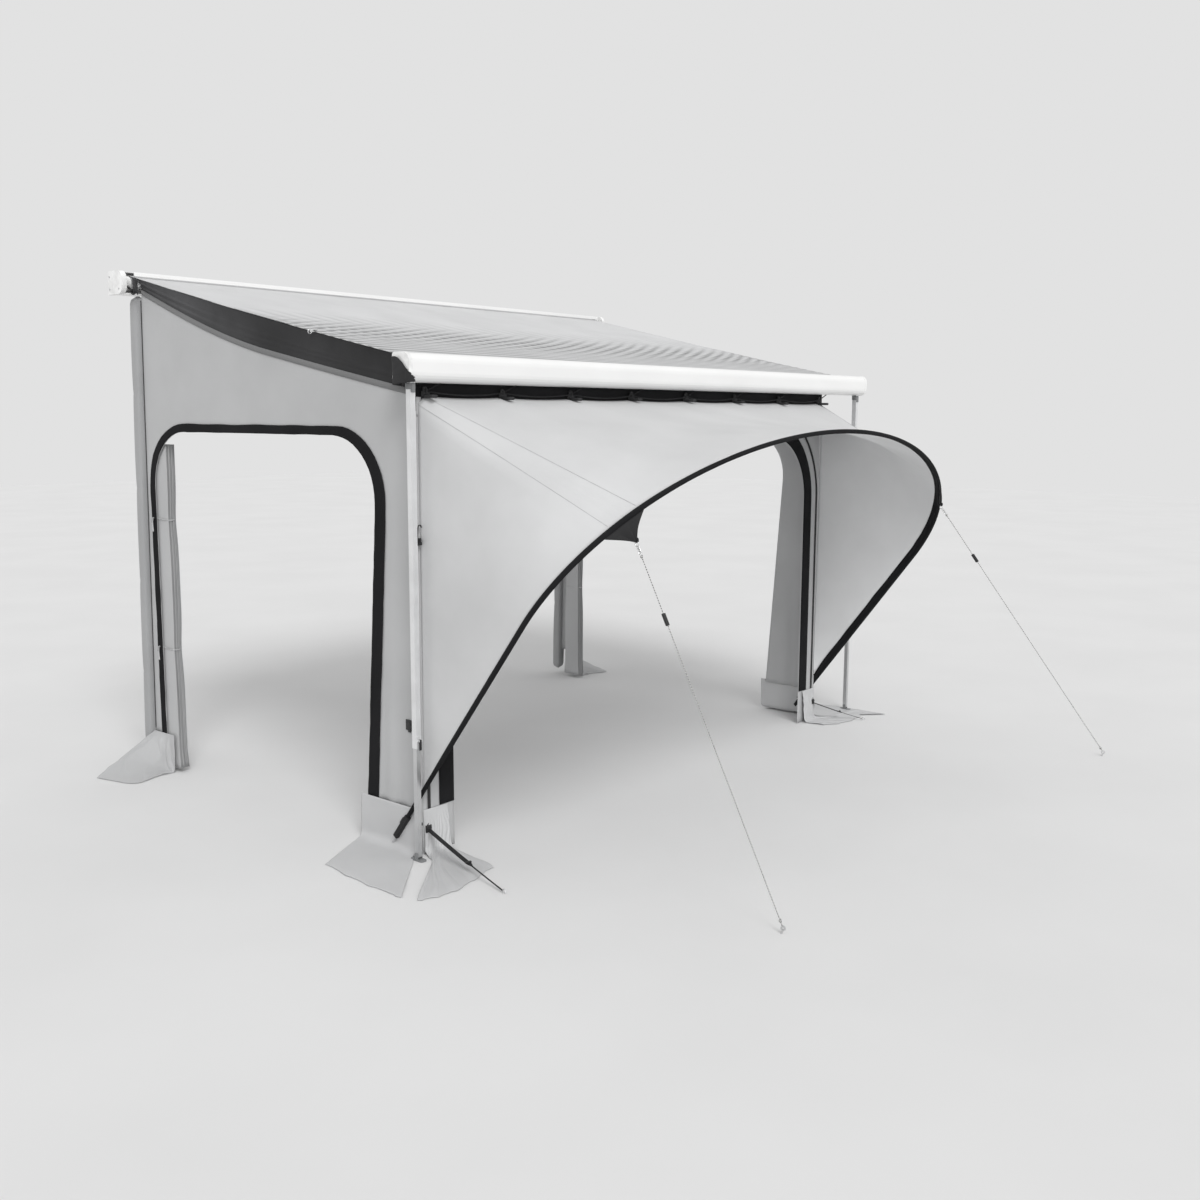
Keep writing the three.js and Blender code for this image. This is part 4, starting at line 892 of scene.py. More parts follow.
class AWNINGTENT_OT_stage(bpy.types.Operator):
    """Makes the floor, the lights, the sky and the camera"""

    bl_idname = "awning_tent.stage"
    bl_label = "Stage"

    def execute(self, context):
        self.camera(context.scene)
        self.floor()
        self.sky(context.scene)
        self.lamp(SUN_WAY, sizes().sun_strength, SUN_SPREAD)
        self.lamp(FILL_WAY, sizes().fill_strength, FILL_SPREAD)
        context.scene.view_settings.view_transform = "Standard"
        return {"FINISHED"}

    def camera(self, scene):
        bpy.ops.object.select_all(action="DESELECT")
        bpy.ops.object.camera_add(location=CAMERA_PLACE)
        camera = scene.camera = bpy.context.active_object
        yaw, pitch, roll = (radians(angle) for angle in CAMERA_TURN)
        way = Vector((sin(yaw) * cos(pitch), cos(yaw) * cos(pitch), sin(pitch)))
        camera.rotation_mode = "QUATERNION"
        camera.rotation_quaternion = way.to_track_quat("-Z", "Y") @ Quaternion(UP, roll)
        camera.data.lens = CAMERA_LENS
        camera.data.sensor_width = CAMERA_SENSOR
        camera.data.clip_end = 200

    def floor(self):
        bpy.ops.mesh.primitive_plane_add(size=60, location=(0, 0, GROUND - 0.001))
        floor = bpy.context.active_object
        floor.name = "floor"
        colour = colours().floor
        finish = Finish("Studio floor", colour, 0.9)
        low, high = shade(colour, 0.985), shade(colour, 1.015)
        finish.tint(finish.noise(0.8, 3.0), low, high, 0.35, 0.65)
        floor.data.materials.append(finish.material)

    def sky(self, scene):
        """Light from all round, with the backdrop where the camera and reflections look."""
        scene.world = bpy.data.worlds.new("Studio sky")
        scene.world.use_nodes = True
        tree = scene.world.node_tree
        new, link = tree.nodes.new, tree.links.new
        light, backdrop = tree.nodes["Background"], new("ShaderNodeBackground")
        for node, grey, power in ((light, 1, sizes().sky_strength), (backdrop, BACKDROP_GREY, 1.0)):
            node.inputs["Color"].default_value = (grey, grey, grey, 1)
            node.inputs["Strength"].default_value = power
        path = new("ShaderNodeLightPath").outputs
        seen = path["Is Camera Ray"]
        for ray in ("Is Transmission Ray", "Is Glossy Ray"):
            either = new("ShaderNodeMath")
            either.operation = "MAXIMUM"
            link(seen, either.inputs[0])
            link(path[ray], either.inputs[1])
            seen = either.outputs["Value"]
        choice = new("ShaderNodeMixShader")
        link(seen, choice.inputs["Fac"])
        link(light.outputs["Background"], choice.inputs[1])
        link(backdrop.outputs["Background"], choice.inputs[2])
        link(choice.outputs["Shader"], tree.nodes["World Output"].inputs["Surface"])

    def lamp(self, way, power, spread):
        bpy.ops.object.light_add(type="SUN", location=LAMP_PLACE)
        lamp = bpy.context.active_object
        lamp.rotation_mode = "QUATERNION"
        lamp.rotation_quaternion = Vector(way).to_track_quat("-Z", "Y")
        lamp.data.energy = power
        lamp.data.angle = radians(spread)


class AWNINGTENT_OT_guys(bpy.types.Operator):
    """Makes the two guy ropes with their knots and snap hooks"""

    bl_idname = "awning_tent.guys"
    bl_label = "Guy ropes"

    def execute(self, context):
        for side in SIDES:
            self.rope(side)
        return {"FINISHED"}

    def rope(self, side):
        start, end = rope_ends(side)
        way = (end - start).normalized()
        line = [start.lerp(end, i / 24) for i in range(25)]
        diameter = sizes().rope_diameter
        rope = tube(f"guy_cord_{side}", line, diameter / 2, 12)
        dress(rope, "rope", FRONT)
        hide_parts(f"guy_rope_{side}")
        tied = [
            self.snap_hook(side, start, way),
            self.knot(f"guy_knot_{side}", start + way * 0.047, way),
            self.knot(f"guy_peg_knot_{side}", end - way * 0.020, way),
            frame["nodes"][f"guy_slider_{side}"],
            frame["nodes"][f"guy_peg_{side}"],
        ]
        tuple(start)
        [tuple(p) for p in line]

    def snap_hook(self, side, start, way):
        turn = aim(way)
        up = turn @ UP
        name = f"guy_snap_{side}"
        bends = [0.025, (up, 0.0065, 180), 0.025, (-up, 0.0065, 180)]
        foot = start + turn @ Vector((0.0035, 0, -0.0065))
        body = wire(name, foot, way, 0.0016, bends, ring=True)
        steps = [(0.003, 0), (0.0042, 0.001), (0.0042, 0.006), (0.0026, 0.009)]
        barrel = turned("snap_barrel", start + way * 0.033, steps, way)
        inside = start + way * 0.004 + turn @ Vector((0, 0, -0.0062))
        gate = turned("snap_gate", inside, [(0.0018, 0), (0.0018, 0.02)], way, 10)
        return dress(joined(name, [body, barrel, gate]), "bright", FRONT)

    def knot(self, name, place, way):
        turn = aim(way)
        wraps = []
        for i in range(54):
            a = 2 * pi * i / 18
            r = 0.0042 + 0.0008 * sin(a * 1.5)
            wraps.append(place + turn @ Vector(((i / 54 - 0.5) * 0.012, r * cos(a), r * sin(a))))
        return dress(tube(name, wraps, 0.0019, 8), "rope", FRONT)


class AWNINGTENT_OT_roof(bpy.types.Operator):
    """Makes the rippled roof cloth with its clip"""

    bl_idname = "awning_tent.roof"
    bl_label = "Roof cloth"

    def execute(self, context):
        pitch, height = sizes().ripple_pitch, sizes().ripple_height
        width, depth = 2 * ROOF_HALF, ROOF_RUN

        def painted_shading(x, y):
            """The ripples' height and the painted shade in their troughs, at a place on the roof."""
            v = roof_share(y)
            early = ease((v - 0.38) / 0.10) * (1 - ease((v - 0.62) / 0.24))
            late = ease((v - 0.46) / 0.22)
            wander = 1.3 * ripple(x * 1.1, y * 1.6, 0, 3.1)
            run = 2 * pi * (x + 0.16 * y) / (1.6 * pitch) + wander
            slant = 0.045 * min(x, 0.0) * (1 - ease((v - 0.86) / 0.2))
            across = 2 * pi * (-y - slant) / (pitch * (1.12 - 0.20 * v)) + 0.45 * wander
            fade = 0.90 + 0.35 * ripple(x * 1.4, y * 2.6, 0, 5.7)
            rim = 1 - 0.75 * ease((v - 0.955) / 0.035)
            side = 1 - 0.8 * ease((abs(x) - ROOF_HALF + 0.10) / 0.09)
            waves = 1.25 * early * sin(run) + late * sin(across)
            # Painted shade: darker in the ripples' troughs, darkest a little to the front of each trough
            dark = 0.35 * early * (0.5 - 0.5 * sin(run)) ** 2
            dark += late * (0.5 + 0.5 * cos(across - 4.3)) ** 1.8
            return height * fade * rim * side * waves, clamp(dark * (0.40 + 0.65 * fade) * rim)

        def at(u, v):
            x = mix(-ROOF_HALF, ROOF_HALF, u)
            y = mix(ROOF_REAR[0], ROOF_FRONT[0], v)
            z = roof_height(x, y) + 0.004 * ripple(x * 0.8, y * 0.9, 0, 1.3) * sin(pi * v)
            return Vector((x, y, z + painted_shading(x, y)[0]))

        roof = thicken(grid("roof_sheet", at, 180, 270, (width, depth), flip=True))
        # The roof's painted shade, darker in its ripples' troughs
        with_painted_shading(roof, lambda p: painted_shading(p.x, p.y)[1])
        dress(roof, "roof", CASSETTE)
        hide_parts("roof_cloth")
        fold_to_cassette(roof, FOLD_UP)
        self.clip()
        return {"FINISHED"}

    def clip(self):
        x, y = -ROOF_HALF, -1.765
        place = Vector((x, y, roof_height(x, y)))
        ring_foot = place + Vector((-0.018, 0.002, -0.015))
        parts = [
            block("roof_edge_clip", place + Vector((0.004, 0, 0.004)), (0.030, 0.024, 0.005)),
            block("clip_under", place + Vector((0.004, 0, -0.005)), (0.030, 0.024, 0.004), bevel=0.0012),
            wire("clip_ring", ring_foot, Vector((1, 0, 0)), 0.002, [(UP, 0.011, 360)], ring=True),
            block("clip_post", place + Vector((-0.009, 0, 0)), (0.006, 0.02, 0.014), bevel=0.001),
        ]
        fold_to_cassette(dress(joined("roof_edge_clip", parts), "bright", CASSETTE), FOLD_UP)


class AWNINGTENT_OT_gussets(bpy.types.Operator):
    """Makes the dark gussets under the roof, their keder strips and the flap round the rail's end"""

    bl_idname = "awning_tent.gussets"
    bl_label = "Gussets"

    def execute(self, context):
        for side, k in SIDES.items():
            self.gusset(side, k)
            self.keder(side, k)
            self.tail(side, k)
        self.end_flap()
        return {"FINISHED"}

    def gusset(self, side, k):
        def at(u, v):
            y, high, low = gusset_edges(k, u)
            crease = 0.004 * sin(pi * v) * ripple(y * 3.2, v * 1.5, 0, 2 + k)
            rear = 0.010 * bell((v - 0.30 - 0.9 * u) / 0.07) + 0.012 * bell((v - 0.66 - 0.5 * u) / 0.06)
            fold = exp(-(u / 0.22)) * rear
            fold += 0.0035 * bell((v - 0.42 - 0.25 * u) / 0.05) + 0.003 * bell((v - 0.80 + 0.1 * u) / 0.04)
            out = 0.026 * (1 - v) ** 2 - 0.002
            return Vector((ROOM_X + k * (WALL_HALF + out + crease + fold), y, mix(high, low, v)))

        cloth = thicken(grid(f"gusset_sheet_{side}", at, 110, 30, (2.32, 0.17), flip=k > 0))
        # Painted light: the gusset lightened towards its rear end by the cassette
        with_painted_shading(cloth, lambda p: bell((GUSSET_REAR_Y - p.y) / 0.85))
        dress(cloth, "gusset", CASSETTE)
        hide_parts(f"gusset_{side}")
        fold_to_cassette(cloth, FOLD_UP)

    def keder(self, side, k):
        def at(u, v):
            y, _, low = gusset_edges(k, u)
            out = WALL_HALF + 0.0012 + 0.004 * sin(pi * v)
            return Vector((ROOM_X + k * out, y, low + 0.006 - 0.030 * v))

        strip = thicken(grid(f"keder_strip_{side}", at, 60, 4, (2.31, 0.03), flip=k > 0), 0.0012)
        dress(strip, "keder", CASSETTE)
        fold_to_cassette(strip, FOLD_UP)

    def tail(self, side, k):
        """The gusset's rear end, tucked against the cassette's front."""

        def at(u, v):
            x = ROOM_X + k * (WALL_HALF + 0.024 + 0.030 * u)
            y = GUSSET_REAR_Y + 0.0045 - 0.004 * sin(pi * u)
            high = roof_height(x, y) - 0.005
            low = high - 0.062 - 0.030 * (1 - u) ** 2
            return Vector((x, y - abs(0.004 * sin(9 * v + 2 * u)), mix(high, low, v)))

        cloth = thicken(grid(f"gusset_tail_{side}", at, 12, 18, (0.030, 0.08), flip=k < 0))
        # Painted light: the tail lightened evenly, like the gusset's rear end
        with_painted_shading(cloth, lambda p: 0.6)
        dress(cloth, "gusset", CASSETTE)

    def end_flap(self):
        """Dark cloth that laps over the rail's left end, with a ragged front edge."""
        wall = ROOM_X - WALL_HALF
        path = [(wall - 0.020, -2.392), (wall - 0.045, -2.420), (-2.098, -2.4425), (-2.1165, -2.452)]
        path += [(-2.1185, -2.490), (-2.1175, -2.535), (-2.112, -2.5585), (-2.080, -2.5605)]
        line = smooth_line([Vector((*p, 0)) for p in path], 6)

        def at(u, v):
            p = along(line, u * (len(line) - 1) * mix(0.70, 1.0, ease(v * 1.15)))
            rag = 0.007 * sin(41 * v) * sin(13 * v + 1) * ease((u - 0.85) / 0.15)
            top = min(roof_height(p.x, max(p.y, -2.444)) - 0.006, RAIL_TOP - 0.004)
            drop = 0.040 * max(0.0, (u - 0.7) / 0.3) ** 2
            z = mix(top - drop, RAIL_BOTTOM - 0.020 * (1 - u), v)
            puff = 0.004 * ripple(u * 4, v * 3, 0, 4)
            shift = abs(puff) if u > 0.5 else puff
            front = ease((-2.552 - p.y) / 0.004)
            p.x += rag * front - shift * (1 - front)
            p.y += rag * (1 - front) - abs(puff) * front
            return Vector((p.x, p.y, z))

        flap = thicken(grid("rail_end_flap_left", at, 40, 24, (0.19, 0.13)))
        dress(flap, "gusset", FRONT)


# Walls with a doorway


def rounded(corners, steps):
    """An open line through 2-D corners (a, b, radius), with each corner rounded."""
    line = [Vector(corners[0][:2])]
    for i in range(1, len(corners) - 1):
        here = Vector(corners[i][:2])
        radius = corners[i][2]
        back = (Vector(corners[i - 1][:2]) - here).normalized()
        ahead = (Vector(corners[i + 1][:2]) - here).normalized()
        half = back.angle(ahead) / 2
        reach = radius / tan(half)
        centre = here + (back + ahead).normalized() * radius / sin(half)
        start = here + back * reach - centre
        turn = start.angle_signed(here + ahead * reach - centre)
        for s in range(steps + 1):
            line.append(centre + Matrix.Rotation(-turn * s / steps, 2) @ start)
    line.append(Vector(corners[-1][:2]))
    return line


def run_of(line):
    return sum((b - a).length for a, b in zip(line, line[1:]))


def resampled(line, count):
    """The line at even steps."""
    lengths = [0.0]
    for a, b in zip(line, line[1:]):
        lengths.append(lengths[-1] + (b - a).length)
    out = []
    k = 0
    for i in range(count + 1):
        want = lengths[-1] * i / count
        while k + 2 < len(lengths) and lengths[k + 1] < want:
            k += 1
        span = lengths[k + 1] - lengths[k]
        out.append(line[k].lerp(line[k + 1], clamp((want - lengths[k]) / span) if span else 0))
    return out


FINE = 4000  # even steps that a rim is measured in before it is cut


def part_lines(line, cuts, counts):
    """The line cut at the given lengths along it, each part with its own count of steps."""
    total = run_of(line)
    fine = resampled(line, FINE)
    edges = [0.0, *cuts, total]
    out = []
    for a, b, n in zip(edges, edges[1:], counts):
        for i in range(n):
            out.append(fine[min(FINE, round(mix(a, b, i / n) / total * FINE))])
    return out + [fine[-1]]


def cut_area(line):
    """The area inside a closed line of (a, b) points."""
    return abs(sum(a.x * b.y - b.x * a.y for a, b in zip(line, line[1:] + line[:1]))) / 2


def doorway(feet, top, radius, bottom, steps, counts):
    """A doorway's edge, up from one foot, over and down to the other, in parts at its corners."""
    start, end, end_foot = feet
    high = GROUND + top
    low = GROUND + bottom
    line = rounded([(start, low), (start, high, radius), (end, high, radius), (end_foot, low)], steps)
    rise, corner, total = top - bottom - radius, pi / 2 * radius, run_of(line)
    return part_lines(line, (rise, rise + corner, total - rise - corner, total - rise), counts)


# A side doorway's y at its rear, its front and its front foot, then its top and corner radius
DOOR_OUTER = ((-0.165, -2.270, -2.145), 2.050, 0.360)
DOOR_INNER = ((-0.215, -2.190, -2.065), 2.004, 0.314)
SIDE_COUNTS = (34, 12, 26, 12, 34)


def door_edge(outer):
    """A side doorway's edge in (y, z), from its rear foot, at the binding's outer or inner line."""
    return doorway(*(DOOR_OUTER if outer else DOOR_INNER), WALL_FOOT, 14, SIDE_COUNTS)


class AWNINGTENT_OT_side_walls(bpy.types.Operator):
    """Makes the side walls, their door bindings, zips and clips"""

    bl_idname = "awning_tent.side_walls"
    bl_label = "Side walls"

    def execute(self, context):
        for side, k in SIDES.items():
            self.wall(side, k)
            self.binding(side, k)
            self.zip(side, k)
        self.clips()
        return {"FINISHED"}

    def drape(self, y, z, k):
        """How far the hanging cloth stands in or out, in metres."""
        low = ease((GROUND + 1.3 - z) / 1.3)
        front = ease((-1.9 - y) / 0.3)
        wave = 0.0042 * sin(y * 52 + 1.5 * ripple(0, y * 4, z * 0.6, k)) * front * (0.25 + low)
        return wave + 0.003 * ripple(y * 1.2, z * 0.8, 0, 6 + k)

    def wall(self, side, k):
        inner = door_edge(False)
        edges = (gusset_edges(k, i / 24) for i in range(25))
        upper = [Vector((y, low - 0.0005)) for y, _, low in edges]
        bottom, front_top = GROUND + WALL_FOOT, upper[-1].y
        rear_top = min(upper[0].y, CASSETTE_BOTTOM - 0.0008)
        rear = [(WALL_REAR_Y, bottom), (REAR_TOP_Y, rear_top), (CASSETTE_FRONT_Y, rear_top)]
        front = [(WALL_FRONT_Y, front_top), (WALL_FRONT_Y, bottom)]
        rim = [Vector(p) for p in rear] + upper + [Vector(p) for p in front]
        height, down = rear_top - bottom, run_of(rim) - (front_top - bottom)
        outer = part_lines(rim, (height - 0.45, height + 0.25, down - 0.35, down + 0.30), SIDE_COUNTS)

        def lift(p, u, v):
            free = sin(pi * clamp(v)) if 0 < v < 1 else 0.0
            return Vector((ROOM_X + k * (WALL_HALF - 0.002 + self.drape(p.x, p.y, k) * free), p.x, p.y))

        wall = thicken(band(f"wall_sheet_{side}", inner, outer, 18, lift, flip=k < 0))
        dress(wall, "wall", CASSETTE)
        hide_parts(f"side_wall_{side}")
        area = round(cut_area(rim) - cut_area(inner), 3)
        fold_to_cassette(wall, BACK)

    def binding(self, side, k):
        inner, outer = door_edge(False), door_edge(True)

        def lift(p, u, v):
            crinkle = 0.0030 * ripple(p.x * 16, p.y * 16, v * 2, 3 + k)
            edge = 0.0080 * ripple(u * 46, v * 0.6, 0, 9 + k) * (v - 0.5)
            return Vector((ROOM_X + k * (WALL_HALF + 0.0024 + abs(crinkle)), p.x + edge, p.y + edge))

        strip = thicken(band(f"door_binding_{side}", inner, outer, 6, lift, flip=k < 0), 0.0016)
        dress(strip, "dark", CASSETTE)
        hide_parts(f"door_trim_{side}")
        area = round(cut_area(outer) - cut_area(inner), 3)
        fold_to_cassette(strip, BACK)

    def zip(self, side, k):
        """The zip that joins the wall to the draught pad."""
        shares = [i / 30 for i in range(31)]
        line = [room(WALL_HALF + 0.0022, mix(-0.096, -0.156, s), 0.24 + 2.50 * s, k) for s in shares]
        cord = tube(f"wall_zip_{side}", line, 0.0030, 6, flat=0.6)
        fold_to_cassette(dress(cord, "zip", CASSETTE), BACK)

    def clips(self):
        """Black clips on the left wall near its front edge and on the leg above it."""
        middle = world(ROOM_X - WALL_HALF, -2.385, 0.632)
        base = middle - Vector((0.0038, 0, 0))
        bar = middle - Vector((0.0072, 0, -0.006))
        lip = middle - Vector((0.0062, 0.004, 0.026))
        parts = [
            block("wall_clip_base", base, (0.005, 0.046, 0.052), bevel=0.0018),
            block("wall_clip_bar", bar, (0.0045, 0.034, 0.016)),
            block("wall_clip_lip", lip, (0.004, 0.018, 0.018), bevel=0.0012),
        ]
        fold_to_cassette(dress(joined("wall_clip_left", parts), "black", CASSETTE), BACK)
        bends = [0.058, (Vector((1, 0, 0)), 0.009, 150), 0.008]
        parts = [
            block("corner_clip_base", world(-2.0010, -2.4700, 1.520), (0.036, 0.012, 0.034), bevel=0.003),
            block("corner_clip_knob", world(-2.0010, -2.4800, 1.512), (0.030, 0.012, 0.016), bevel=0.003),
            wire("corner_clip_hook", world(-2.006, -2.474, 1.532), Vector((0, -0.12, 1)), 0.0030, bends),
        ]
        dress(joined("corner_clip_left", parts), "black", FRONT)


class AWNINGTENT_OT_pads(bpy.types.Operator):
    """Makes the padded draught columns between vehicle and walls"""

    bl_idname = "awning_tent.pads"
    bl_label = "Draught pads"

    def execute(self, context):
        for side, k in SIDES.items():
            self.pad(side, k)
        return {"FINISHED"}

    def pad(self, side, k):
        low, high, channels = 0.040, 2.766, 5
        around, steps = 36, 130
        rings, places = [], []
        for r in range(steps + 1):
            share = r / steps
            height = mix(low, high, share)
            middle = room(WALL_HALF - 0.002, mix(-0.049, -0.118, share), height, k)
            crown = 0.004 * abs(sin(pi * channels * share)) ** 0.45
            end = clamp(1 - min(share, 1 - share) * (high - low) / 0.040)
            close = max(0.20, sqrt(1 - end * end))
            ring = []
            for i in range(around):
                a = 2 * pi * i / around
                c, s = cos(a), sin(a)
                square = (abs(c) ** 5 + abs(s) ** 5) ** -0.2
                extra = crown * close + 0.0012 * ripple(c * 2, s * 2, middle.z * 5, 4 + k)
                wide, deep = square * 0.036 * close + extra, square * 0.031 * close + extra
                ring.append(middle + Vector((c * wide, s * deep, 0)))
            rings.append(ring)
            places.append([(i / around * 0.28, middle.z) for i in range(around)])
        pad = skin(f"draught_pad_{side}", rings, places)
        dress(pad, "pad", CASSETTE)
        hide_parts(f"rear_pad_{side}")


TIES = {"upper": 1.500, "lower": 0.740}
CURTAIN_FOOT, CURTAIN_TOP = 0.024, 1.930
CURTAIN_Y = -0.251
CURTAIN_HALF = WALL_HALF - 0.0065


class AWNINGTENT_OT_curtains(bpy.types.Operator):
    """Makes the gathered door curtains with their ties and toggles"""

    bl_idname = "awning_tent.curtains"
    bl_label = "Door curtains"

    def execute(self, context):
        for side, k in SIDES.items():
            self.curtain(side, k)
            for name, height in TIES.items():
                self.tie(f"curtain_tie_{name}_{side}", k, height)
        return {"FINISHED"}

    def curtain(self, side, k):
        passes = 12

        def at(u, v):
            height = mix(CURTAIN_FOOT, CURTAIN_TOP, v)
            tied = max(bell((height - tie) / 0.13) for tie in TIES.values())
            flare = 0.007 * ease(1 - v / 0.07)
            half = 0.074 - 0.007 * tied + flare
            deep = 0.055 - 0.005 * tied + flare / 2
            s = u * passes
            swing = sin(pi * (s - 0.5))
            sharp = copysign(abs(swing) ** 0.6, swing)
            wobble = 0.003 * ripple(s * 1.7, height * 3, 0, 5 + k) * (1 - tied)
            y = CURTAIN_Y + sharp * (half - 0.006 * abs(sin(2.3 * s))) + wobble
            x = CURTAIN_HALF - (0.003 + deep * u + 0.0015 * cos(pi * s))
            return room(x + k * wobble * 0.5, y, height, k)

        cloth = grid(f"tied_curtain_{side}", at, passes * 14, 60, (1.9, 1.906), flip=k < 0)
        curtain = dress(thicken(cloth, 0.0010), "wall", CASSETTE)
        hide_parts(f"door_curtain_{side}")
        fold_to_cassette(curtain, BACK)

    def tie(self, name, k, height):
        points = []
        for i in range(40):
            a = 2 * pi * i / 40
            c, s = cos(a), sin(a)
            square = (abs(c) ** 4 + abs(s) ** 4) ** -0.25
            out = CURTAIN_HALF - (0.026 + 0.0265 * square * c)
            points.append(room(out, CURTAIN_Y + 0.066 * square * s, height + 0.004 * s, k))
        strap = tube("strap", points, 0.0055, 8, closed=True, flat=0.28)
        end = room(WALL_HALF + 0.010, -0.190, height - 0.004, k)
        hang = [end + Vector((0, y, z)) for y, z in ((0.004, 0.008), (0.01, -0.03), (0.006, -0.07))]
        tail = tube("tail", smooth_line([points[10], *hang], 6), 0.0045, 8, flat=0.3)
        steps = [(0.003, 0), (0.0055, 0.003), (0.0055, 0.030), (0.003, 0.033)]
        lean = Vector((0, 0.3, -1)).normalized()
        toggle = turned("toggle", end + Vector((0, 0.004, 0.012)), steps, lean, 14)
        fold_to_cassette(dress(joined(name, [strap, tail, toggle]), "tie", CASSETTE), BACK)


# Where the bend at the knee starts on the way down, and where it ends on the way out
BEND_START, BEND_END = 0.78, 0.16


def draped(top, knee, hem, v, straight=0.0):
    """A place on cloth that hangs from its top, bends at the knee and lies out to the hem."""
    bend = knee.lerp(top.lerp(hem, 0.5), straight)
    upper, lower = top.lerp(bend, BEND_START), bend.lerp(hem, BEND_END)
    first, last = (upper - top).length, (hem - lower).length
    curve = 0.5 * ((bend - upper).length + (lower - bend).length)
    run = v * (first + curve + last)
    if run < first:
        return top.lerp(upper, run / first)
    if run > first + curve:
        return lower.lerp(hem, (run - first - curve) / last)
    t = (run - first) / curve
    return upper * (1 - t) ** 2 + bend * 2 * t * (1 - t) + lower * t**2


def edge_point(points, share, height):
    """A place on the line through (x, y) points, at a height."""
    return Vector((*through([(*p, 0) for p in points], share).xy, height))


FLAP_HALF = WALL_HALF + 0.008
FLAP_TOP = 0.225
HEM_HEIGHT = 0.003
LOWEST = 0.0022


class AWNINGTENT_OT_flaps(bpy.types.Operator):
    """Makes the mud flaps of the side walls, draped out over the ground"""

    bl_idname = "awning_tent.flaps"
    bl_label = "Mud flaps"

    def execute(self, context):
        for side, k in SIDES.items():
            self.side_flap(side, k)
            self.rear_flap(side, k)
        return {"FINISHED"}

    def flap(self, which, side, k, at, size, finish):
        cloth = thicken(grid(f"mud_flap_{which}_{side}", at, 60, 64, size, flip=k > 0))
        dress(cloth, finish, CASSETTE)
        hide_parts(f"{which}_flap_{side}")
        fold_to_cassette(cloth, BACK)

    def side_flap(self, side, k):
        """The flap at the wall's front, swept forwards round the leg's foot."""
        near = FLAP_HALF
        hems = [(2.224, -2.215), (2.248, -2.36), (2.262, -2.50), (2.268, -2.65), (2.267, -2.800)]
        knees = [(0, -2.020), (0, -2.12), (0.003, -2.23), (0.008, -2.34), (0.020, -2.442)]
        knees = [(near + out, y) for out, y in knees]

        def at(u, v):
            top = Vector((near, mix(-2.020, -2.432, u), FLAP_TOP))
            hem = edge_point(hems, u, HEM_HEIGHT)
            hem.x -= 0.010 * abs(sin(pi * 3.2 * u)) + 0.004 * ripple(u * 22, 0, 0, 3)
            p = draped(top, edge_point(knees, u, 0.0), hem, v)
            if u > 0.9 and v > 0.3:
                aside = (1 - clamp((p.x - near - 0.05) / 0.03)) * ease((u - 0.9) / 0.1)
                p.y = max(p.y, mix(p.y, -2.452, aside))
            lying = clamp(1 - p.z / 0.04)
            fold = 0.0055 * sin(5.2 * u + 3.1 * v) ** 2
            fold += 0.005 * max(0.0, ripple(u * 3, v * 4, 0, 5 + k))
            p.z += fold * lying * ease((1.02 - v) / 0.1)
            p.x += (1 - lying) * 0.003 * (1 + sin(9 * u + 2 * v)) * ease(v * 5)
            return room(p.x, p.y, max(p.z, LOWEST), k)

        self.flap("side", side, k, at, (0.50, 0.60), "flap")

    def rear_flap(self, side, k):
        """The flap behind the doorway, pulled out to a point at its rear."""
        hems = [(2.205, -0.062), (2.175, -0.20), (2.125, -0.325), (2.05, -0.33), (1.975, -0.290)]

        def at(u, v):
            top = Vector((FLAP_HALF, mix(-0.096, -0.300, u), FLAP_TOP))
            hem = edge_point(hems, u, HEM_HEIGHT)
            hem.x -= 0.006 * abs(sin(pi * 2.5 * u))
            p = draped(top, Vector((top.x, top.y, 0.0)), hem, v, 1 - ease(u * 1.1))
            lying = clamp(1 - p.z / 0.03)
            bent = 20 * u - 5 * v + 3 * ripple(u * 3, v * 3, 0, 2 + k)
            crease = 0.018 * (0.5 + 0.5 * sin(bent)) ** 3 * max(0.0, sin(pi * v)) ** 0.7
            crease = abs(crease + 0.008 * ripple(u * 5, v * 3, 0, 8 + k))
            p.z += crease * lying * ease((1.02 - v) / 0.08)
            p.x += (1 - lying) * crease * ease(v * 6)
            return room(p.x, p.y, max(p.z, LOWEST), k)

        # The rear flaps take the darker wall cloth in place of the flap sheeting: painted shade
        self.flap("rear", side, k, at, (0.25, 0.50), "wall")


FRONT_COUNTS = (36, 16, 60, 16, 36)
FRONT_DOOR_HALF, FRONT_DOOR_TOP, FRONT_DOOR_RADIUS = 1.620, 1.965, 0.400


def front_edge(inset, bottom=0.0):
    """The front doorway's edge in (x, z), moved out by the inset."""
    half = FRONT_DOOR_HALF + inset
    feet = (ROOM_X - half, ROOM_X + half, ROOM_X + half)
    return doorway(feet, FRONT_DOOR_TOP + inset, FRONT_DOOR_RADIUS + inset, bottom, 18, FRONT_COUNTS)


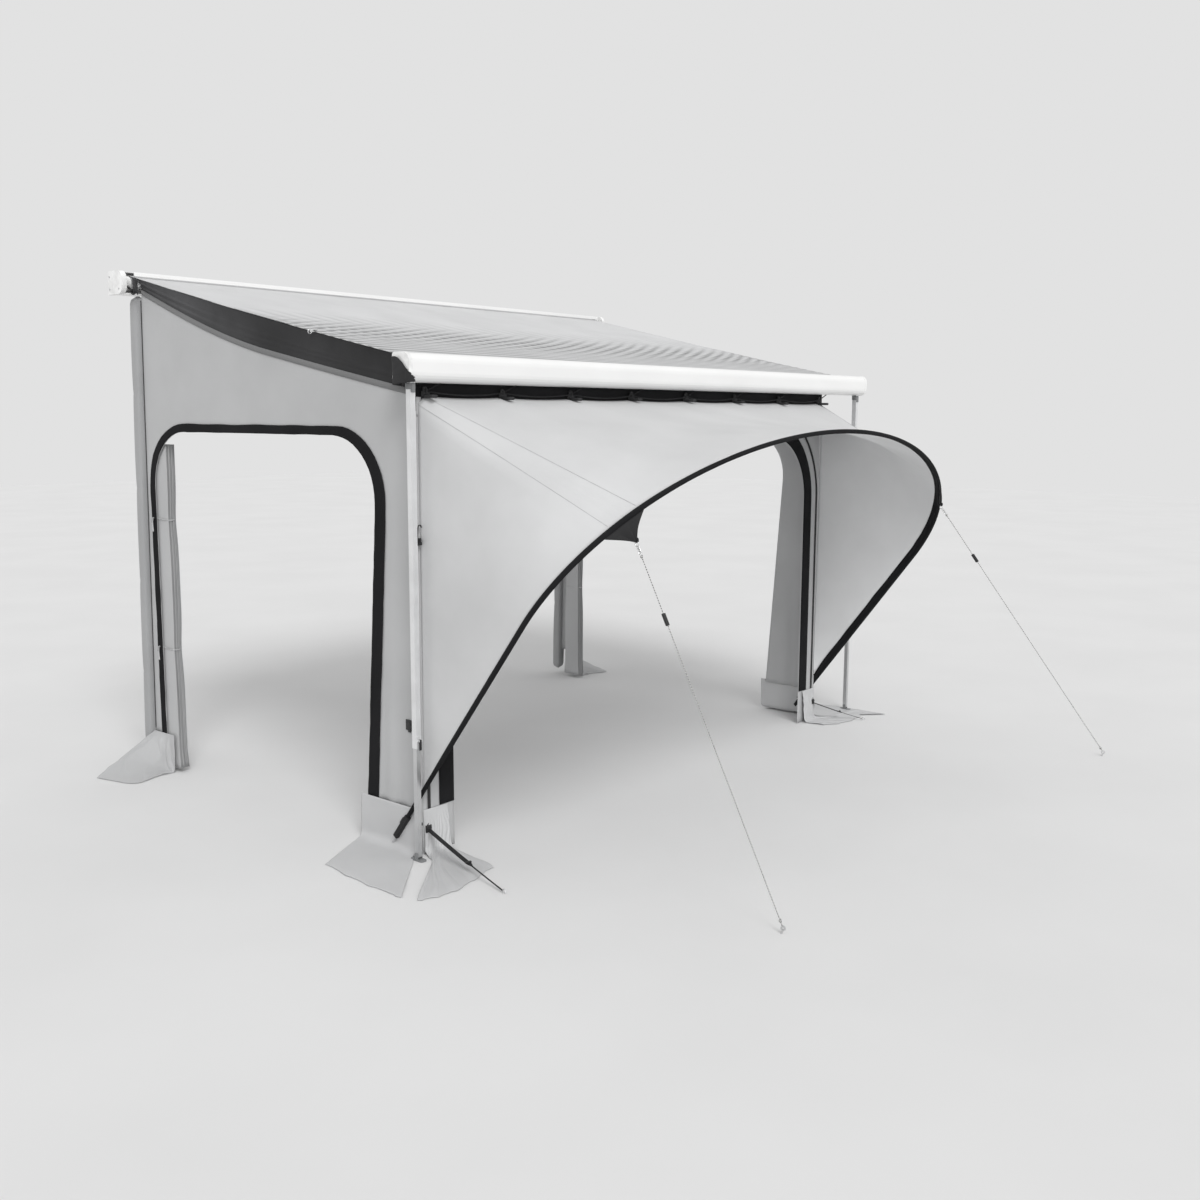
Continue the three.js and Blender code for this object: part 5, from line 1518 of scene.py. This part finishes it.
class AWNINGTENT_OT_front_wall(bpy.types.Operator):
    """Makes the front wall with its binding, zips and flaps"""

    bl_idname = "awning_tent.front_wall"
    bl_label = "Front wall"

    def execute(self, context):
        inner = front_edge(0.0)
        left, right = ROOM_X - FRONT_HALF, ROOM_X + FRONT_HALF
        corners = (left, GROUND), (left, BAND_BOTTOM), (right, BAND_BOTTOM), (right, GROUND)
        rim = [Vector(p) for p in corners]
        height, total, reach = BAND_BOTTOM - GROUND, run_of(rim), 0.25
        cuts = (height - reach, height + reach, total - height - reach, total - height + reach)
        outer = part_lines(rim, cuts, FRONT_COUNTS)

        def lift(p, u, v):
            foot = ease((GROUND + 0.5 - p.y) / 0.4) * abs(sin(p.x * 60)) * 0.004
            y = FRONT_WALL_Y + 0.001 * ripple(p.x * 3, p.y * 2, 0, 1) + foot * sin(pi * v)
            return Vector((p.x, y, p.y))

        wall = thicken(band("front_sheet", inner, outer, 8, lift))
        dress(wall, "wall", FRONT)
        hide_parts("front_wall")
        flaps = [self.flap(side, k) for side, k in SIDES.items()]
        area = round(cut_area(rim) - cut_area(inner), 3)
        self.strip("front_binding", 0.004, 0.100, 0.225, "dark", 5, "front_door_trim")
        self.strip("front_zip_tape", 0.158, 0.176, 0.020, "zip", 2, None)
        return {"FINISHED"}

    def strip(self, name, low, high, bottom, finish, rows, node):
        inner, outer = front_edge(low, bottom), front_edge(high, bottom)

        def lift(p, u, v):
            out = 0.0040 + 0.0008 * abs(ripple(p.x * 12, p.y * 12, v, 2))
            return Vector((p.x, FRONT_WALL_Y - out, p.y))

        piece = thicken(band(name, inner, outer, rows, lift), 0.0016)
        dress(piece, finish, FRONT)
        run, width = run_of(inner), high - low
        if node:
            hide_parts(node)

    def flap(self, side, k):
        """A front mud flap: crinkled where it stands, then fanned out round the leg's foot."""
        hems = {
            "left": [(1.733, -2.846), (1.90, -2.895), (2.05, -2.930), (2.17, -2.915), (2.238, -2.885)],
            "right": [(1.700, -2.628), (1.800, -2.690), (1.950, -2.712), (2.110, -2.690), (2.262, -2.610)],
        }[side]
        edge, peak = {"left": ((1.853, -2.556), 0.385), "right": ((1.915, -2.545), 0.52)}[side]

        def at(u, v):
            x = mix(FRONT_DOOR_HALF + 0.050, FRONT_HALF - 0.001, u)
            top = Vector((x, FRONT_WALL_Y - 0.005, 0.222))
            hem = edge_point(hems, u, HEM_HEIGHT)
            knee = Vector((top.x, top.y - 0.004 - 0.02 * (1 - u), 0.0))
            hem.y += 0.012 * abs(sin(pi * 4.3 * u)) + 0.005 * ripple(u * 25, 0, 0, 4)
            p = draped(top, knee, hem, v)
            rise = max(1e-3, (v - 0.27) / (peak - 0.27))
            fall = max(1e-3, (1 - v) / (1 - peak))
            bow = 1.12 * (rise**-6 + fall**-6) ** (-1 / 6) * ease((u - 0.35) / 0.65)
            aside = Vector(edge) - draped(top, knee, hem, peak).xy
            p += Vector((*aside, 0)) * bow
            lying = clamp(1 - p.z / 0.04)
            rays = sin(u * 27 + 2.5 * ripple(u * 3, v * 1.5, 0, 2 + k))
            p.z += (0.007 * max(0.0, rays) + 0.004) * lying * ease((1.02 - v) / 0.12)
            crinkle = 0.007 * abs(sin(u * 24 + 4 * ripple(u * 4, v * 5, 0, 3 + k)))
            p.y -= (1 - lying) * crinkle * ease(v * 5)
            return room(p.x, p.y, max(p.z, LOWEST), k)

        cloth = thicken(grid(f"mud_flap_front_{side}", at, 70, 64, (0.5, 0.63), flip=k < 0))
        return dress(cloth, "flap", FRONT)


class AWNINGTENT_OT_dark_band(bpy.types.Operator):
    """Makes the dark band under the rail with its hooks and elastics"""

    bl_idname = "awning_tent.dark_band"
    bl_label = "Dark band"

    def execute(self, context):
        left, right = ROOM_X - FRONT_HALF, ROOM_X + FRONT_HALF

        def at(u, v):
            x = mix(left, right, u)
            low = BAND_BOTTOM + 0.0005 + 0.014 * abs(sin(pi * 8 * u))
            z = mix(RAIL_BOTTOM - 0.0005, low, v)
            return Vector((x, FRONT_WALL_Y + 0.0012 * ripple(x * 5, z * 9, 0, 4), z))

        cloth = thicken(grid("dark_band", at, 160, 6, (right - left, 0.13)))
        dress(cloth, "dark", FRONT)
        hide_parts("front_band")
        self.hooks(left, right)
        for side, k in SIDES.items():
            self.corner(side, k)
        return {"FINISHED"}

    def corner(self, side, k):
        """Light cloth that covers the band's end beside the hood's corner."""
        size = (0.03, 0.088)

        def at(u, v):
            x = ROOM_X + k * FRONT_HALF - k * size[0] * u
            return Vector((x, FRONT_WALL_Y - 0.0034, mix(BAND_BOTTOM - 0.02, GROUND + 2.186, v)))

        patch = thicken(grid(f"band_corner_{side}", at, 2, 6, size, flip=k > 0), 0.0012)
        dress(patch, "wall", FRONT)

    def hooks(self, left, right):
        y = HOOD_REAR_Y - 0.004
        top = HOOD_TOP + 0.026
        places = [mix(left + 0.05, right - 0.06, i / 7) for i in range(8)]
        x = places[0]
        bends = [0.014, (UP, 0.010, 85), 0.012, (Vector((-1, 0, 0)), 0.009, 190), 0.006]
        tab = world(x, y - 0.034, HOOD_TOP + 0.001)
        parts = [
            wire("hook", world(x - 0.020, y - 0.008, top - 0.016), Vector((1, 0, 0.1)), 0.0055, bends),
            block("hook_pad", world(x, y - 0.004, top - 0.014), (0.052, 0.009, 0.026), bevel=0.003),
            block("hook_tab", tab, (0.036, 0.074, 0.015), bevel=0.005, segments=3),
        ]
        model = joined("hook", parts)
        hooks, elastics = [], []
        for i, x in enumerate(places):
            hooks.append(copied(model, Vector((x - places[0], 0, 0.004 * sin(5 * i)))))
            start = world(x + 0.008, y - 0.008, top + 0.002)
            end = world(x + 0.095, -2.474, 2.2505)
            elastics.append(tube("elastic", [start.lerp(end, t / 6) for t in range(7)], 0.0030, 8))
        bpy.data.objects.remove(model)
        dress(joined("band_hooks", hooks), "zip", FRONT, "plastic_black")
        line = []
        for a, b in zip(places, places[1:]):
            for s in (t / 12 for t in range(12)):
                line.append(world(mix(a, b, s), y - 0.008, HOOD_TOP + 0.024 - 0.016 * 4 * s * (1 - s)))
        line.append(world(places[-1], y - 0.008, HOOD_TOP + 0.024))
        elastics.append(tube("hem_elastic", line, 0.0035, 8))
        dress(joined("band_elastics", elastics), "webbing", FRONT)


class AWNINGTENT_OT_hood(bpy.types.Operator):
    """Makes the porch hood with its seams and the dark hem along its pole"""

    bl_idname = "awning_tent.hood"
    bl_label = "Hood"

    def execute(self, context):
        hood = grid("hood_sheet", self.at, 220, 44, (6.2, 1.1))
        # The inside face takes the lighter copy of the hood cloth, painted light for light through the
        # cloth
        for finish in ("hood_inside_painted_light", "hood"):
            hood.data.materials.append(finish_for(finish))
        thicken(hood, outer=1)
        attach(hood, FRONT)
        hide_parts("hood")
        area = sheet_area(hood) / 2
        flat, rests = (round(area / 0.95, 1), 1.4), ["hood_pole", "front_band"]
        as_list(rests)
        self.seams()
        self.hem()
        return {"FINISHED"}

    def at(self, u, v):
        """The hood's cloth, with its strain lines and scalloped rear edge."""
        p = hood_point(u, v)
        w = 2 * min(u, 1 - u)
        rays = 0.0022 * sin(w * 210) * bell((w - 0.55) / 0.12) * v**3
        soft = 0.004 * ripple(p.x * 1.1, p.y * 1.1, p.z * 1.1, 2.5) * sin(pi * v)
        drop = 0.006 * abs(sin(pi * 7 * clamp((u - 0.3) / 0.4))) * (1 - v) ** 6
        drop = drop if 0.3 < u < 0.7 else 0.0
        return p + Vector((soft * 0.5, 0, soft + rays - drop))

    def seams(self):
        seams = []
        for w in (WING_END, CORNER_END):
            for u in (w / 2, 1 - w / 2):
                line = []
                for i in range(41):
                    v = 0.004 + 0.985 * i / 40
                    p = self.at(u, v)
                    down = self.at(u, min(1, v + 0.01)) - p
                    out = (self.at(u + 0.002, v) - self.at(u - 0.002, v)).cross(down).normalized()
                    line.append(p + out * copysign(0.0014, out.z))
                seams.append(tube("seam", line, 0.0012, 6, flat=0.6))
        dress(joined("hood_seams", seams), "thread", FRONT)

    def hem(self):
        """The dark sleeve: round the pole, then flat along the inside of the hood's edge."""
        width, steps = sizes().hem_width, 150
        low = arch_at_height(0.150)
        angles = [radians(60 + 240 * step / 8) for step in range(9)]
        sleeve = [(SLEEVE_RADIUS * cos(a), SLEEVE_RADIUS * sin(a)) for a in angles]
        rings, places = [], []
        run, last = 0.0, arch(low)
        for i in range(steps + 1):
            share = mix(low, 1 - low, i / steps)
            half = min(share, 1 - share)
            pole = arch(share)
            line = (arch(min(1, share + 1e-3)) - arch(share - 1e-3)).normalized()
            near = hood_point(self.w_of(half) / 2, 0.97)
            way = (near if share <= 0.5 else mirrored(near)) - pole
            way = (way - line * way.dot(line)).normalized()
            side = line.cross(way)
            reach = width * ease((half - low) / max(1e-6, HOOD_FOOT_SHARE - low) * 1.2)
            reach = max(reach + 0.003 * ripple(share * 60, 0, 0, 5), 0.017)
            profile = [(reach, -0.0014), (0.015, -0.0014), (0.015, 0.0034), (0.010, 0.0060), *sleeve]
            profile += [(0.010, -0.0060), (mix(0.010, reach, 0.5), -0.0040), (reach, -0.0034)]
            pucker = 1 + 0.06 * ripple(share * 90, 0, 0, 2)
            rings.append([pole + way * a + side * b * pucker for a, b in profile])
            run += (pole - last).length
            last = pole
            places.append([(run, j * 0.008) for j in range(len(profile))])
        hem = skin("hood_hem", rings, places)
        alone(hem)
        edit()
        bpy.ops.mesh.remove_doubles(threshold=1e-6)
        face_out()
        dress(hem, "dark", FRONT)
        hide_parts("hood_sleeve")

    def w_of(self, share):
        """The hood's w at which it meets the pole at that share."""
        if share < SEAM_OUTER:
            return WING_END * max(0.0, share - HOOD_FOOT_SHARE) / (SEAM_OUTER - HOOD_FOOT_SHARE)
        if share < SEAM_INNER:
            return mix(WING_END, CORNER_END, (share - SEAM_OUTER) / (SEAM_INNER - SEAM_OUTER))
        return mix(CORNER_END, 1.0, (share - SEAM_INNER) / (0.5 - SEAM_INNER))


class AWNINGTENT_OT_gores(bpy.types.Operator):
    """Makes the dark gores that the guys pull on, with their rings"""

    bl_idname = "awning_tent.gores"
    bl_label = "Guy gores"

    def execute(self, context):
        for side, k in SIDES.items():
            self.gore(side, k)
            self.ring(side)
        return {"FINISHED"}

    def gore(self, side, k):
        first, last = (arch_at_inset(inset) for inset in (0.208, 0.410))

        def at(u, v):
            end = GUY_TOPS["left"] + Vector(((u - 0.5) * 0.006, 0, 0))
            p = beside_pole(mix(first, last, u), end, 0.006).lerp(end, v)
            fold = 0.0060 * sin(u * 15 + 1.5 * v) * v * (1 - v) * 3
            hollow = 0.018 * sin(pi * v) * (2 * u - 1)
            p += Vector((fold * 0.3 - hollow, -fold, fold * 0.5))
            return mirrored(p) if k > 0 else p

        cloth = thicken(grid(f"guy_gore_{side}", at, 30, 24, (0.26, 0.16), flip=k > 0), 0.0022)
        dress(cloth, "gusset", FRONT, "dark_fabric")
        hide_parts(f"guy_patch_{side}")

    def ring(self, side):
        foot = GUY_TOPS[side] - RING_DROP - Vector((0, 0, 0.0095))
        way, turn = Vector((0, 1, 0)), [(UP, 0.0095, 360)]
        dress(wire(f"gore_ring_{side}", foot, way, 0.0021, turn, ring=True), "bright", FRONT)
        centre = GUY_TOPS[side] + Vector((0, 0, 0.010))
        angles = [2 * pi * i / 20 for i in range(20)]
        loop = [centre + Vector((0, 0.004 * cos(a), 0.009 * sin(a))) for a in angles]
        dress(tube(f"gore_loop_{side}", loop, 0.006, 8, closed=True, flat=0.35), "webbing", FRONT)


class AWNINGTENT_OT_corner_straps(bpy.types.Operator):
    """Makes the corner straps with their buckles and pegs, and the pockets at the pole's feet"""

    bl_idname = "awning_tent.corner_straps"
    bl_label = "Corner straps"

    def execute(self, context):
        for side, k in SIDES.items():
            self.strap(side, room(STRAP_HALF, FRONT_WALL_Y - 0.0158, 0.120, k), STRAP_PEGS[side])
            self.pocket(side, k)
        return {"FINISHED"}

    def strap(self, side, top, ground):
        head = ground + Vector((0, 0, 0.010))
        way = (head - top).normalized()
        across = way.cross(UP).normalized()
        up = across.cross(way)
        wide, narrow = 0.0125, 0.0040

        def at(u, v):
            half = wide if v < 0.56 else mix(wide, narrow, ease((v - 0.56) / 0.05))
            return top.lerp(head, v) + across * (2 * u - 1) * half - up * 0.004 * sin(pi * v)

        belt = thicken(grid("belt", at, 6, 90, (2 * wide, (head - top).length)), 0.0018)
        parts = [
            block("buckle", top + Vector((0, 0.004, 0.006)), (0.034, 0.012, 0.036), bevel=0.003),
            block("buckle_bar", top + Vector((0, -0.004, 0.010)), (0.026, 0.007, 0.008), bevel=0.002),
            block("keeper", top.lerp(head, 0.55), (0.012, 0.032, 0.008), turn=aim(way), bevel=0.002),
        ]
        web = dress(joined(f"corner_strap_{side}_web", [belt]), "webbing", FRONT)
        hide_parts(f"corner_strap_{side}")
        dress(joined(f"corner_buckle_{side}", parts), "black", FRONT)
        lean = Vector((way.x, way.y, 0)).normalized()
        toe = ground + lean * 0.060 - Vector((0, 0, 0.185))
        shaft = head - toe
        bends = [shaft.length, (lean, 0.008, 170), 0.012]
        dress(wire(f"corner_peg_{side}", toe, shaft, 0.0030, bends), "steel", FRONT)

    def pocket(self, side, k):
        """The webbing pocket and buckle where the sleeve ends, above the pole's bare tip."""
        foot, head = (arch(arch_at_height(height)) for height in (0.062, 0.185))
        if k > 0:
            foot, head = mirrored(foot), mirrored(head)
        way = (head - foot).normalized()
        turn = aim(way, Vector((k, 0, 0)))
        middle = foot.lerp(head, 0.5)
        size = ((head - foot).length, 0.030, 0.024)
        lock = middle + way * 0.030 + turn @ Vector((0, 0.010, 0))
        bend = middle + way * 0.02 + Vector((-k * 0.012, 0.03, -0.01))
        end = room(STRAP_HALF, FRONT_WALL_Y - 0.012, 0.150, k)
        parts = [
            block("pocket", middle, size, turn=turn, bevel=0.006, segments=3),
            block("pocket_lock", lock, (0.040, 0.022, 0.016), turn=turn, bevel=0.003),
            tube("pocket_tail", smooth_line([middle + way * 0.05, bend, end], 10), 0.0085, 8, flat=0.22),
        ]
        dress(joined(f"pole_pocket_{side}", parts), "webbing", FRONT)


# The end caps' screws: each one's y and height, then the head by (radius, height) from its foot
CASSETTE_SCREWS = (
    ((-0.030, 2.870), (-0.030, 2.800), (-0.128, 2.800)),
    ((0.0050, -0.001), (0.0050, 0.0012), (0.0040, 0.0020), (0.0022, 0.0020), (0.0018, 0.0008)),
)
RAIL_SCREWS = (
    ((-2.470, 2.360), (-2.470, 2.275), (-2.525, 2.300)),
    ((0.0042, -0.001), (0.0042, 0.0012), (0.0034, 0.0018), (0.0018, 0.0018), (0.0016, 0.0008)),
)
LIP_LENGTH = 4.060


class AWNINGTENT_OT_fittings(bpy.types.Operator):
    """Makes the screws in the end caps, the covers on the legs' hinges and the cassette's rain lip"""

    bl_idname = "awning_tent.fittings"
    bl_label = "Fittings"

    def execute(self, context):
        for side, k in SIDES.items():
            self.screws(f"cassette_screws_{side}", k, CASSETTE_HALF, CASSETTE_SCREWS, CASSETTE)
            self.screws(f"rail_screws_{side}", k, RAIL_HALF, RAIL_SCREWS, FRONT)
            self.leg_top(side, k)
        self.lip()
        return {"FINISHED"}

    def screws(self, name, k, half, kind, body):
        places, head = kind
        way, face = Vector((k, 0, 0)), k * (half + 0.0002)
        screws = [turned("screw", world(face, y, height), head, way, 18) for y, height in places]
        dress(joined(name, screws), "steel", body)

    def leg_top(self, side, k):
        x = k * LEG_X
        parts = [
            block("leg_top", world(x, LEG_Y, 2.233), (0.034, 0.036, 0.030), bevel=0.004, segments=3),
            block("leg_top_rib", world(x, LEG_Y - 0.018, 2.224), (0.020, 0.008, 0.040), bevel=0.002),
        ]
        dress(joined(f"leg_hinge_cover_{side}", parts), "grey", FRONT)

    def lip(self):
        """The rain lip along the cassette's opening, just above the roof cloth."""
        parts = [
            block("cassette_lip", world(0, -0.1535, 2.8845), (LIP_LENGTH, 0.0070, 0.0215), bevel=0.0018),
            block("lip_bead", world(0, -0.1590, 2.8745), (LIP_LENGTH, 0.0050, 0.0050), bevel=0.0018),
        ]
        dress(joined("cassette_lip", parts), "white", CASSETTE)


CAD_FINISHES = {
    "white": ("cassette_housing", "lead_rail"),
    "cap": ("cassette_end_cap", "rail_end_cap", "winding_gearbox"),
    "aluminium": (
        "roller_tube", "wall_bracket", "shoulder_bracket", "upper_arm", "forearm", "wrist_bracket",
    ),
    "leg": ("outer_leg",),
    "steel": ("hood_pole", "inner_leg", "guy_peg"),
    "black": ("crank_eye", "leg_clamp_lever", "guy_slider"),
    "grey": ("foot",),
}


class AWNINGTENT_OT_cad_finishes(bpy.types.Operator):
    """Gives each shown CAD node its procedural finish"""

    bl_idname = "awning_tent.cad_finishes"
    bl_label = "CAD finishes"

    def execute(self, context):
        for node, obj in frame["nodes"].items():
            for finish, kinds in CAD_FINISHES.items():
                if node.startswith(kinds):
                    obj.data.materials.clear()
                    obj.data.materials.append(finish_for(finish))
        return {"FINISHED"}


class AWNINGTENT_PT_panel(bpy.types.Panel):
    """Lists the awning tent's sizes, colours and pieces"""

    bl_idname = "AWNINGTENT_PT_panel"
    bl_label = "Awning tent"
    bl_space_type = "VIEW_3D"
    bl_region_type = "UI"
    bl_category = "Awning tent"

    def draw(self, context):
        for group in (sizes(), colours()):
            box = self.layout.box()
            for name in group.__annotations__:
                box.prop(group, name)
        for operator in OPERATORS:
            self.layout.operator(operator.bl_idname)


OPERATORS = [
    AWNINGTENT_OT_stage,
    AWNINGTENT_OT_guys,
    AWNINGTENT_OT_roof,
    AWNINGTENT_OT_gussets,
    AWNINGTENT_OT_side_walls,
    AWNINGTENT_OT_pads,
    AWNINGTENT_OT_curtains,
    AWNINGTENT_OT_flaps,
    AWNINGTENT_OT_front_wall,
    AWNINGTENT_OT_dark_band,
    AWNINGTENT_OT_hood,
    AWNINGTENT_OT_gores,
    AWNINGTENT_OT_corner_straps,
    AWNINGTENT_OT_fittings,
    AWNINGTENT_OT_cad_finishes,
]
CLASSES = [AwningTentColours, AwningTentSizes, *OPERATORS, AWNINGTENT_PT_panel]


def register():
    for cls in CLASSES:
        bpy.utils.register_class(cls)
    bpy.types.Scene.awning_tent_colours = bpy.props.PointerProperty(type=AwningTentColours)
    bpy.types.Scene.awning_tent_sizes = bpy.props.PointerProperty(type=AwningTentSizes)


def unregister():
    del bpy.types.Scene.awning_tent_sizes
    del bpy.types.Scene.awning_tent_colours
    for cls in reversed(CLASSES):
        bpy.utils.unregister_class(cls)


def main():
    register()
    for operator in OPERATORS:
        group, name = operator.bl_idname.split(".")
        getattr(getattr(bpy.ops, group), name)()


if __name__ == "__main__":
    main()
